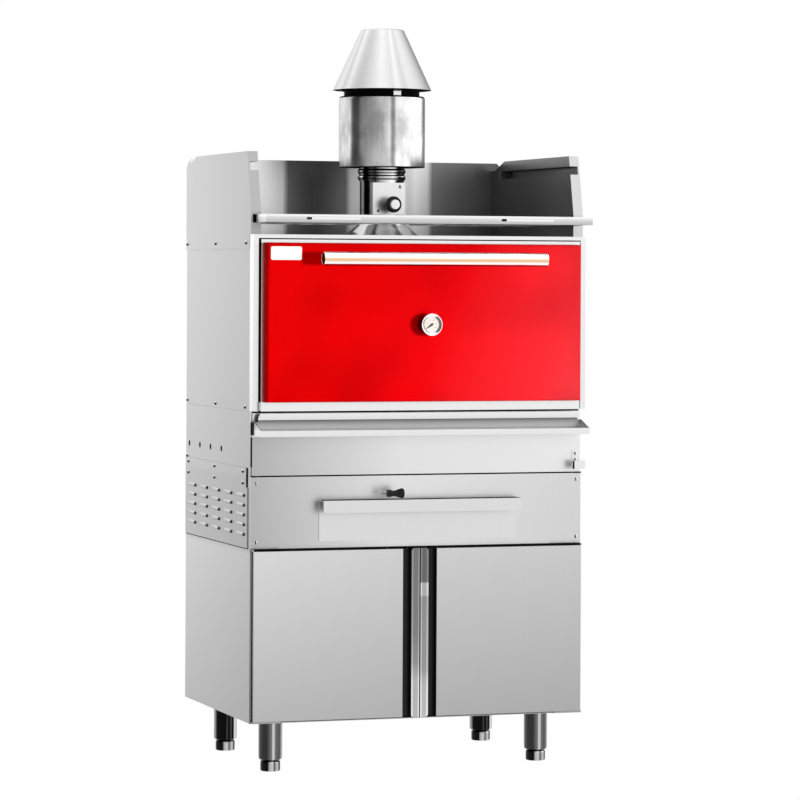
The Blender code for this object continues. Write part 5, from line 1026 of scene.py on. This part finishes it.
# %% Door thermometer: case
RIM, BEZEL, BACK_BOSS, BACK_HOLE = mm(27, 18.7, 12, 7)
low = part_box("thermometer_case")[0]
dial_centre = centre_of("thermometer_case")
depth = panel_face - low.y
floor_depth = depth - 6.2 * MM  # the case's floor, behind the dial
outline = rounded(
    [(BACK_HOLE, 0), (BACK_BOSS, 0), (BACK_BOSS, 6 * MM), (RIM - 4 * MM, 6 * MM), (RIM, 10 * MM),
     (RIM, depth - 1 * MM), (RIM - 1 * MM, depth), (RIM - 2.5 * MM, depth),
     (BEZEL, depth - 4.2 * MM), (BEZEL - 0.2 * MM, floor_depth), (2 * MM, floor_depth)],
    mm(0, 0, 0, 2, 2, 0.5, 0.5, 1.2, 0.4, 0, 0), 5,
)
case = turn("thermometer_bezel", outline, (dial_centre.x, panel_face, dial_centre.z), "bezel",
            "oven_door", AHEAD)
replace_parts(case, "thermometer_case")
print("case", round(depth, 4), "deep")

# %% [markdown]
# ## Door thermometer: print
#
# The dial is a printed card: 26 marks over 250 degrees of turn, each fifth one longer, and a
# number at every hundred. An image could carry the print, but it would blur close up. Flat bars and
# letters just above the card stay sharp. The letters are made a mesh before they are placed.

# %% Door thermometer: print
FIRST_ANGLE, LAST_ANGLE, MARKS = -125, 125, 26
MARK_TIP, SHORT_MARK, LONG_MARK, THIN, THICK = mm(16.6, 15.0, 13.8, 0.4, 0.7)
NUMERAL_RING, NUMERAL_SIZE, NUMERALS = 11.2 * MM, 3.4 * MM, 6
print_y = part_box("thermometer_dial")[0].y - 0.06 * MM


def mark(angle, inner, width):
    """Corners of a flat bar along a radius of the dial, angle degrees clockwise from the top."""
    along = np.array([math.sin(math.radians(angle)), 0, math.cos(math.radians(angle))])
    across = np.array([along[2], 0, -along[0]]) * width / 2
    centre = np.array([dial_centre.x, print_y, dial_centre.z])
    return [centre + along * inner - across, centre + along * MARK_TIP - across,
            centre + along * MARK_TIP + across, centre + along * inner + across]


def numeral(text, x, z, size):
    """Printed digits about a point of the dial: a text curve made into a mesh and placed."""
    curve = bpy.data.curves.new("numeral " + text, "FONT")
    curve.body = text
    curve.size = size
    curve.align_x = curve.align_y = "CENTER"
    sample = bpy.data.objects.new("numeral " + text, curve)
    flat = bpy.data.meshes.new_from_object(sample)
    points = np.empty(len(flat.vertices) * 3)
    flat.vertices.foreach_get("co", points)
    points = points.reshape(-1, 3)[:, [0, 2, 1]] * [1, 0, 1] + [x, print_y, z]
    faces = [tuple(face.vertices) for face in flat.polygons]
    bpy.data.objects.remove(sample)
    return piece("dial_numeral_" + text, points, faces, "print", "oven_door")


marks = [mark(angle, SHORT_MARK if index % 5 else LONG_MARK, THIN if index % 5 else THICK)
         for index, angle in enumerate(np.linspace(FIRST_ANGLE, LAST_ANGLE, MARKS))]
faces = (np.arange(MARKS)[:, None] * 4 + np.arange(4)).tolist()
piece("dial_marks", marks, faces, "print", "oven_door")
for index, angle in enumerate(np.radians(np.linspace(FIRST_ANGLE, LAST_ANGLE, NUMERALS))):
    numeral(str(index * 100), dial_centre.x + NUMERAL_RING * math.sin(angle),
            dial_centre.z + NUMERAL_RING * math.cos(angle), NUMERAL_SIZE)

HUB_RADIUS, HUB_EDGE, HUB_TOP, HUB_LIFT = mm(3.3, 0.8, 1.0, 0.5)
needle_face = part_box("thermometer_needle")[0].y
outline = rounded([(HUB_RADIUS, 0), (HUB_RADIUS, HUB_EDGE), (PIN / 2, HUB_TOP)], mm(0, 0.4, 0), 3)
turn("needle_hub", outline, (dial_centre.x, needle_face + HUB_LIFT, dial_centre.z), "needle",
     "thermometer_needle", AHEAD, 32)
print("marks:", MARKS, "numerals:", NUMERALS)

# %% [markdown]
# ## Knobs
#
# The air lever's knob is bell-shaped, so that fingers can pull it, and the damper's is a drum with
# a silver cap. Both are turned in the factory, so both are turned here, from (radius, height)
# outlines in millimetres.

# %% Knobs
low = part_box("air_lever_knob")[0]
middle = centre_of("air_lever_knob")
bell = rounded(
    np.array([(1, 0), (8.5, 0), (8.8, 9), (6.2, 18), (10.5, 30), (12.2, 36), (12.2, 41.5),
              (1, 42.5)]) * MM,
    mm(0, 2, 5, 6, 6, 3, 3, 0), 6,
)
BELL_BACK = 12.5 * MM  # how far the bell reaches over the lever's end
knob = turn("bell_knob", bell, (low.x - BELL_BACK, middle.y, middle.z), "black", "air_lever",
            ACROSS)
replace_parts(knob, "air_lever_knob")

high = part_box("damper_knob")[1]
middle = centre_of("damper_knob")
drum_knob = rounded(
    np.array([(4, 0), (12, 0), (13, 20), (20.5, 24), (20.5, 31.5), (18, 34), (12.5, 33.5),
              (1, 33.5)]) * MM,
    mm(0, 1, 3, 2, 2, 2, 0, 0), 4,
)
knob = turn("damper_knob_ring", drum_knob, (middle.x, high.y, middle.z), "black", "flue_damper",
            AHEAD)
cap_outline = rounded(np.array([(11.9, 33), (11.9, 44), (1, 44.6)]) * MM, mm(0, 1.5, 0), 4)
turn("damper_knob_cap", cap_outline, (middle.x, high.y, middle.z), "silver", "flue_damper", AHEAD)
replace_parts(knob, "damper_knob")
print("knob outlines:", len(bell), "and", len(drum_knob), "points")


# %% [markdown]
# ## Screws
#
# The sheets are held by small domed screws. Each could be an object of its own, but there are over
# thirty, all alike. One dome of a few dozen faces is repeated by adding every place to every point,
# so that the screws of a side are one piece.

# %% Screws
HEAD = rounded(np.array([(4.6, 0), (4.6, 0.9), (3.4, 2.7), (0.5, 3.0)]) * MM, mm(0, 0.6, 1, 0), 3)


def repeated(name, profile, places, normal, material, body, sides=12):
    """One small turned shape at each of the places, all facing one way, as a single piece."""
    toward = Vector((0, 0, 1)).rotation_difference(Vector(normal)).to_matrix()
    shape = spin(profile, (0, 0, 0), toward, sides)
    rows, columns = shape.shape[:2]
    faces = np.array(grid_faces(rows, columns))
    points = shape.reshape(1, -1, 3) + np.array(places, float)[:, None]
    first = np.arange(len(places))[:, None] * rows * columns
    every = (faces[None] + first[:, :, None]).reshape(-1, 4).tolist()
    every += (first + np.arange(columns)[::-1]).tolist()
    every += (first + (rows - 1) * columns + np.arange(columns)).tolist()
    return piece(name, points, every, material, body, 50)


def screws(name, places, normal, body):
    """Domed screw heads with painted light and shade: bright tops at the sides, a dark crescent in
    front.
    """
    repeated(name, HEAD, places, normal, "screw" if normal[0] else "face_screw", body)


LOUVRE_X = BODY_X + 2.3 * MM  # the louvre plate lies on the side sheet
guard_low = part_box("surround_left")[0]
sheet_low, sheet_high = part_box("louvre_plate_left")
firebox_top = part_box("firebox_side_left")[1].z
# Rows of screws up a side: the sheet's face, depths from the chimney's axis, and heights.
SIDE_ROWS = (
    (LOUVRE_X, (0.265, 0.021, -0.232), (sheet_high.z - 9.5 * MM, sheet_high.z - 37.5 * MM)),
    (BODY_X, (0.285, 0.022, -0.240), (firebox_top + 10 * MM,)),
    (-guard_low.x, (0.2815, 0.0167, -0.253), (guard_low.z + 15 * MM,)),
    (BODY_X, (0.285,), (sheet_high.z + 4 * MM,)),
)
for side, side_name in SIDES:
    places = [(side * x, y + AXIS_Y, z) for x, depths, levels in SIDE_ROWS
              for y in depths for z in levels]
    screws("side_screws_" + side_name, places, (side, 0, 0), "root")

TO_FRONT = (0, -1, 0)
vent_x, vent_levels = BODY_X - 12.5 * MM, (vent_low.z + 15.7 * MM, vent_high.z - 16.5 * MM)
screws("vent_panel_screws", [(x, FRONT, z) for x in (-vent_x, vent_x) for z in vent_levels],
       TO_FRONT, "root")
damper_face, damper_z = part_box("damper_box")[0].y, centre_of("damper_box").z + 0.2 * MM
screws("damper_box_screws",
       [(side * 29 * MM, damper_face, damper_z + side * 30 * MM) for side in (1, -1)],
       TO_FRONT, "root")
catch_low, catch_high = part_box("turn_catch")
screws("catch_screws", [(catch_low.x + 16.5 * MM, flap_low.y, catch_high.z + rise)
                        for rise in mm(2, 17)], TO_FRONT, "firebox_flap")
print("screws on a side:", len(places))


# %% [markdown]
# ## Painted shade in seams and gaps
#
# Where two sheets meet there is a dark line of shade in the gap between them. The CAD has the
# gaps, but a pixel is wider than most of them. A thin black strip in each seam paints that shade
# and makes the line certain at any size of picture. The side air holes get black discs of painted
# shade.

# %% Painted shade in seams and gaps
def strip(name, low, high, material="sealant", body="root"):
    """A thin box between two corners, such as a strip of painted shade in a seam."""
    (x0, y0, z0), (x1, y1, z1) = low, high
    ring = np.array([(x0, y0), (x1, y0), (x1, y1), (x0, y1)])
    rings = [np.column_stack([ring, np.full(4, z)]) for z in (z0, z1)]
    return loft(name, rings, material, body)


tray_low, tray_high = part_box("ledge_tray")
door_low, door_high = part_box("door_pan")
cabinet_low, cabinet_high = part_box("base_cabinet")
leaf_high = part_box("cabinet_door_left")[1]
PLATE = FRONT + 8.2 * MM  # front face of the plate behind the oven door
SEAM_X = BODY_X - 0.2 * MM  # a seam across the front stops just short of its ends
DOOR_X = door_high.x + 0.2 * MM
NOTCH_LOW_Z, NOTCH_HIGH_Z = sheet_high.z - mm(49.5, 47)  # the louvre plate's cut-out corner
in_plate = (PLATE - 1.0 * MM, PLATE - 0.3 * MM)
on_side = (BODY_X + 0.3 * MM, BODY_X + 0.6 * MM)
vent_seam_z = vent_high.z - 0.8 * MM

strip("seam_under_door", (tray_low.x, in_plate[0], tray_high.z + 0.6 * MM),
      (tray_high.x, in_plate[1], door_low.z - 0.2 * MM))
strip("seam_over_vent", (-SEAM_X, FRONT - 0.3 * MM, vent_seam_z),
      (SEAM_X, FRONT + 0.5 * MM, flap_low.z - 0.1 * MM))
strip("door_gap_top", (-DOOR_X, in_plate[0], door_high.z + 0.2 * MM),
      (DOOR_X, in_plate[1], door_high.z + 3.8 * MM))
# On both sides: name, near and far x, near and far y, low and high z.
PAIRED_SEAMS = (
    ("door_gap_", DOOR_X, DOOR_X + 4.1 * MM, *in_plate, door_low.z + 1 * MM, door_high.z),
    ("cabinet_edge_", *on_side, FRONT + 0.1 * MM, FRONT + 2.8 * MM, cabinet_low.z + 1 * MM,
     cabinet_high.z - 0.5 * MM),
    ("plate_edge_", *on_side, sheet_low.y + 1 * MM, sheet_low.y + 10.7 * MM,
     NOTCH_HIGH_Z + 0.5 * MM, sheet_high.z - 0.5 * MM),
    ("side_seam_", *on_side, sheet_low.y + 0.5 * MM, sheet_high.y - 0.5 * MM,
     cabinet_high.z - 2.2 * MM, cabinet_high.z + 0.2 * MM),
    ("corner_seam_", door_high.x, SEAM_X, flap_low.y - 0.9 * MM, flap_low.y - 0.4 * MM,
     vent_seam_z, flap_low.z - 0.5 * MM),
    ("cabinet_gap_", BODY_X - 73 * MM, BODY_X - 4.5 * MM, cabinet_low.y - 0.8 * MM,
     cabinet_low.y - 0.4 * MM, leaf_high.z + 0.6 * MM, cabinet_high.z + 0.1 * MM),
)
HOLES, HOLE_RADIUS, HOLE_PITCH, FIRST_HOLE = 4, 7.4 * MM, 99 * MM, 262 * MM
HOLE_Z = vent_high.z + 56.5 * MM
for side, side_name in SIDES:
    for name, near_x, far_x, near_y, far_y, low_z, high_z in PAIRED_SEAMS:
        left, right = sorted((side * near_x, side * far_x))
        strip(name + side_name, (left, near_y, low_z), (right, far_y, high_z))
    holes = [(side * (BODY_X + 0.1 * MM), FRONT + FIRST_HOLE + index * HOLE_PITCH, HOLE_Z)
             for index in range(HOLES)]
    shade = [(HOLE_RADIUS, -0.1 * MM), (HOLE_RADIUS, 0.1 * MM)]
    repeated("air_hole_shades_" + side_name, shade, holes, (side, 0, 0), "sealant", "root", 24)
print("paired seams:", len(PAIRED_SEAMS))

# %% Single seams, and bright fills in the shelf's grips
GAP_LEFT, GAP_RIGHT = -SEAM_X, flap_low.x - 0.2 * MM  # at the left ends of tray and flap
gap_y = (FRONT - 0.6 * MM, FRONT - 0.2 * MM)
strip("tray_gap", (GAP_LEFT, gap_y[0], tray_low.z + 1 * MM),
      (GAP_RIGHT, gap_y[1], firebox_top - 1 * MM))
strip("flap_edge", (GAP_LEFT, gap_y[0], sheet_high.z + 3 * MM), (GAP_RIGHT, gap_y[1], flap_high.z))
# Painted shade: a dark strip along the turn catch's left edge.
strip("catch_pin", (catch_low.x, catch_low.y - 0.4 * MM, catch_low.z),
      (catch_low.x + 4.5 * MM, catch_low.y, catch_high.z), "sealant", "turn_catch")

GRIP_WIDTH, LEFT_GRIP_X, RIGHT_GRIP_X = mm(123.5, -303, 193)  # the two finger grips in the rail
shelf_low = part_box("top_shelf")[0]
# Painted light: bright strips just behind the shelf's two finger grips hide the shade inside them.
for side_name, left in (("left", LEFT_GRIP_X), ("right", RIGHT_GRIP_X)):
    strip("shelf_grip_fold_" + side_name, (left, shelf_low.y + 0.6 * MM, shelf_low.z + 6.8 * MM),
          (left + GRIP_WIDTH, shelf_low.y + 1.2 * MM, shelf_low.z + 13.2 * MM), "bright",
          "top_shelf")
low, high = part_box("ash_drawer_front")
strip("drawer_handle_shade", (low.x + 0.5 * MM, low.y + 1 * MM, high.z),
      (high.x - 0.5 * MM, high.y - 1.4 * MM, high.z + 0.3 * MM), "sealant", "ash_drawer")
# Painted shade: a dark strip across the cabinet's front, from the grip strips up to its top.
shade_strip_x, strip_top = BODY_X - 4.5 * MM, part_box("grip_strip_left")[1].z
strip("cabinet_gasket", (-shade_strip_x, FRONT - 0.8 * MM, strip_top + 0.2 * MM),
      (shade_strip_x, FRONT - 0.3 * MM, cabinet_high.z - 0.2 * MM))
print("catch pin at", round(catch_low.x, 4), "gasket at", round(cabinet_high.z, 4))

# %% [markdown]
# ## Pressed louvres
#
# The side plate lets air to the fire through pressed louvres: each is a slit whose lower sheet is
# pushed out into a hood. They could be one sculpted plate, but twenty-five alike come faster as one
# formula. Over the hood's length s and height t, both 0 to 1, the rise is
# rise x s^1.1 x sin(pi t)^0.8: it grows from the tail at the back to the mouth at the front.

# %% Pressed louvres: one hood
LENGTH, HEIGHT, RISE = mm(74, 9, 4.5)
along, over = np.meshgrid(np.linspace(0, 1, 12), np.linspace(0, 1, 11), indexing="ij")
bulge = RISE * along**1.1 * np.sin(np.pi * over) ** 0.8
hood = np.stack([bulge, -along * LENGTH, (over - 0.5) * HEIGHT], -1)
mouth = hood[-1:] * [0.1, 1, 1] + [0, 0.5 * MM, 0]  # the front edge, folded back to the plate
patch = np.concatenate([hood, mouth])
rows, columns = patch.shape[:2]
row, column = np.meshgrid(np.arange(rows - 1), np.arange(columns - 1), indexing="ij")
corner = (row * columns + column).reshape(-1, 1)
open_faces = corner + np.array([0, 1, columns + 1, columns])
print("faces of a hood:", len(open_faces))

# %% Pressed louvres: the plates
SHEET_IN, SHEET_EDGE = BODY_X + mm(0.3, 1.8)  # the plate's inner face, and its bevel's start
NOTCH_DEPTH = 11 * MM
COLUMNS, ROWS = 5, 5
COLUMN_PITCH, ROW_PITCH, FIRST_COLUMN, FIRST_ROW = mm(110, 23.5, 51.5, 32.2)
first = (FRONT + FIRST_COLUMN, sheet_low.z + FIRST_ROW)
starts = np.array([(first[0] + i * COLUMN_PITCH, first[1] + j * ROW_PITCH)
                   for i in range(COLUMNS) for j in range(ROWS)])
count = len(starts)
dot = np.array([(3.1, -0.8), (3.0, 1.0), (1.8, 1.6)]) * MM  # the shade in a hood's mouth
for side, side_name in SIDES:
    low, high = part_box("louvre_plate_" + side_name)
    notch_y = low.y + NOTCH_DEPTH
    outline = [(low.y, low.z), (high.y, low.z), (high.y, high.z), (notch_y, high.z),
               (notch_y, NOTCH_HIGH_Z), (low.y, NOTCH_LOW_Z)]
    rings = [[(side * x, y, z) for y, z in outline] for x in (SHEET_IN, SHEET_EDGE, LOUVRE_X)]
    plate = loft("louvre_sheet_" + side_name, rings, "side", "root")
    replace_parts(plate, "louvre_plate_" + side_name)

    tails = np.column_stack([np.full(count, side * LOUVRE_X), starts[:, 0] + LENGTH, starts[:, 1]])
    points = patch.reshape(1, -1, 3) * [side, 1, 1] + tails[:, None]
    faces = (open_faces[None] + np.arange(count)[:, None, None] * rows * columns).reshape(-1, 4)
    faces = faces[:, ::-1] if side < 0 else faces
    piece("louvre_hoods_" + side_name, points, faces.tolist(), "hood", "root", 60)
    dots = np.column_stack([np.full(count, side * (LOUVRE_X + 0.8 * MM)),
                            starts[:, 0] - 1.0 * MM, starts[:, 1] - 1.2 * MM])
    # Painted shade: a small black disc in each hood's mouth.
    repeated("louvre_mouths_" + side_name, dot, dots, (side, 0, 0), "black", "root", 10)

# %% [markdown]
# ## Camera
#
# The oven is seen from in front of its left half, from the height of the door, with its upright
# edges upright. A camera tilted towards its middle would make them lean. So this one stays level
# and its picture is shifted, as with a shift lens. The roll, a third of a degree, is the lean that
# is left in the picture.

# %% Camera
EYE = (-2.8564, -8.5278, 1.2082)
YAW, ROLL = math.radians(18.676), math.radians(0.281)
FOCAL_LENGTH, SENSOR_WIDTH, SHIFT = 161.93, 36, -0.1565  # mm, mm, and a share of the width
forward = Vector((math.sin(YAW), math.cos(YAW), 0))
level_right = Vector((math.cos(YAW), -math.sin(YAW), 0))
up = Vector((0, 0, 1))
camera_right = level_right * math.cos(ROLL) + up * math.sin(ROLL)
camera_up = up * math.cos(ROLL) - level_right * math.sin(ROLL)

lens = bpy.data.cameras.new("camera")
lens.lens = FOCAL_LENGTH
lens.sensor_width = SENSOR_WIDTH
lens.shift_y = SHIFT
camera = bpy.data.objects.new("camera", lens)
bpy.context.scene.collection.objects.link(camera)
turned = Matrix((camera_right, camera_up, -forward)).transposed().to_4x4()
camera.matrix_world = Matrix.Translation(EYE) @ turned
bpy.context.scene.camera = camera
print("camera is", round(math.dist(EYE, (0, AXIS_Y, EYE[2])), 2), "m from the oven's middle")

# %% [markdown]
# ## Floor
#
# A studio floor is white paper. A brighter lamp would make it white, but would bleach the oven too.
# So the floor glows only for rays from the camera and from reflections, at exactly white, and is an
# ordinary matt white for the light that it sends up under the oven.

# %% Floor
HALF_FLOOR, PAPER_ROUGHNESS = 30.0, 0.9
floor_mesh = bpy.data.meshes.new("floor")
corners = [(-1, -1, 0), (1, -1, 0), (1, 1, 0), (-1, 1, 0)]
floor_mesh.from_pydata((np.array(corners) * HALF_FLOOR).tolist(), [], [(0, 1, 2, 3)])
floor = bpy.data.objects.new("floor", floor_mesh)
bpy.context.scene.collection.objects.link(floor)
material, tree, shader, place = begin("pale studio floor")
put(shader, Roughness=PAPER_ROUGHNESS)
shader.inputs["Base Color"].default_value = colour("FFFFFF")
path = link_in(tree, "ShaderNodeLightPath")
glow = link_in(tree, "ShaderNodeEmission", None, Color=colour("FFFFFF"), Strength=1.0)
seen = link_in(tree, "ShaderNodeMath", {"operation": "MAXIMUM"}, n0=path.outputs["Is Camera Ray"],
               n1=path.outputs["Is Glossy Ray"])
paper = link_in(tree, "ShaderNodeMixShader", None, n0=seen.outputs[0], n1=shader.outputs[0],
                n2=glow.outputs[0])
tree.links.new(paper.outputs[0], tree.nodes["Material Output"].inputs["Surface"])
floor_mesh.materials.append(material)
print("floor", 2 * HALF_FLOOR, "m wide")


# %% [markdown]
# ## Lights
#
# One soft box stands ahead and to the right, and draws the soft shadows of the handle and the
# drawer. The rest of the light comes from the room. Real metal shows a room of cards and walls, so
# the world is striped by compass, as a studio is, and a little darker at eye level. It is weaker
# for matt surfaces than for reflections, and pure white where the camera looks past the oven.

# %% Lights
def soft_box(name, place, aim, width, height, power):
    """A rectangular area light at place that faces the point aim."""
    light = bpy.data.lights.new(name, "AREA")
    light.shape = "RECTANGLE"
    light.size = width
    light.size_y = height
    light.energy = power
    lamp = bpy.data.objects.new(name, light)
    bpy.context.scene.collection.objects.link(lamp)
    lamp.location = place
    lamp.rotation_mode = "QUATERNION"
    lamp.rotation_quaternion = (Vector(aim) - Vector(place)).to_track_quat("-Z", "Y")
    return lamp


KEY_PLACE, KEY_AIM, KEY_SIZE, KEY_WATTS = (2.1, -5.8, 1.2), (0, 0, 1.08), 0.5, 255
key = soft_box("key light", KEY_PLACE, KEY_AIM, KEY_SIZE, KEY_SIZE, KEY_WATTS)
key.visible_glossy = False
print("key light", round(math.dist(KEY_PLACE, KEY_AIM), 2), "m away")

# %% Room
ROOM_BANDS = greys(
    (-180, "D0"), (-160, "DC"), (-140, "E8"), (-113, "F4"), (-106, "40"), (-84, "38"), (-74, "A0"),
    (-20, "C4"), (4, "D4"), (40, "E8"), (62, "E8"), (78, "FF"), (112, "FF"), (124, "50"),
    (150, "90"), (180, "C0"))
ROOM_HEIGHTS = greys((0.0, "FF"), (0.48, "FF"), (0.56, "E0"), (0.66, "E8"), (1.0, "FF"))
MATT_LIGHT, MIRRORED_LIGHT = 0.6, 2.2

world = bpy.data.worlds.new("studio")
bpy.context.scene.world = world
world.use_nodes = True
sky = world.node_tree
direction = link_in(sky, "ShaderNodeTexCoord").outputs["Generated"]
x, y, z = link_in(sky, "ShaderNodeSeparateXYZ", None, Vector=direction).outputs
ahead = link_in(sky, "ShaderNodeMath", {"operation": "MULTIPLY"}, n0=y, n1=-1.0)
compass = link_in(sky, "ShaderNodeMath", {"operation": "ARCTAN2"}, n0=x, n1=ahead.outputs[0])
share = link_in(sky, "ShaderNodeMapRange", None, Value=compass.outputs[0], From_Min=-math.pi,
                From_Max=math.pi)
around = link_in(sky, "ShaderNodeValToRGB",
                 {"stops": [((degrees + 180) / 360, code) for degrees, code in ROOM_BANDS]},
                 Fac=share.outputs[0])
level = link_in(sky, "ShaderNodeMapRange", None, Value=z, From_Min=-1.0, From_Max=1.0)
upwards = link_in(sky, "ShaderNodeValToRGB", {"stops": ROOM_HEIGHTS}, Fac=level.outputs[0])
both = link_in(sky, "ShaderNodeMix", TIMES, n0=1.0, n6=around.outputs[0], n7=upwards.outputs[0])
path = link_in(sky, "ShaderNodeLightPath")
strength = link_in(sky, "ShaderNodeMapRange", None, Value=path.outputs["Is Glossy Ray"],
                   To_Min=MATT_LIGHT, To_Max=MIRRORED_LIGHT)
room = link_in(sky, "ShaderNodeVectorMath", {"operation": "SCALE"}, n0=both.outputs[2],
               Scale=strength.outputs[0])
seen = link_in(sky, "ShaderNodeMix", BLEND, n0=path.outputs["Is Camera Ray"], n6=room.outputs[0],
               n7=colour("FFFFFF"))
sky.links.new(seen.outputs[2], sky.nodes["Background"].inputs["Color"])
bpy.context.scene.view_settings.view_transform = "Standard"
print("stripes round the room:", len(ROOM_BANDS))
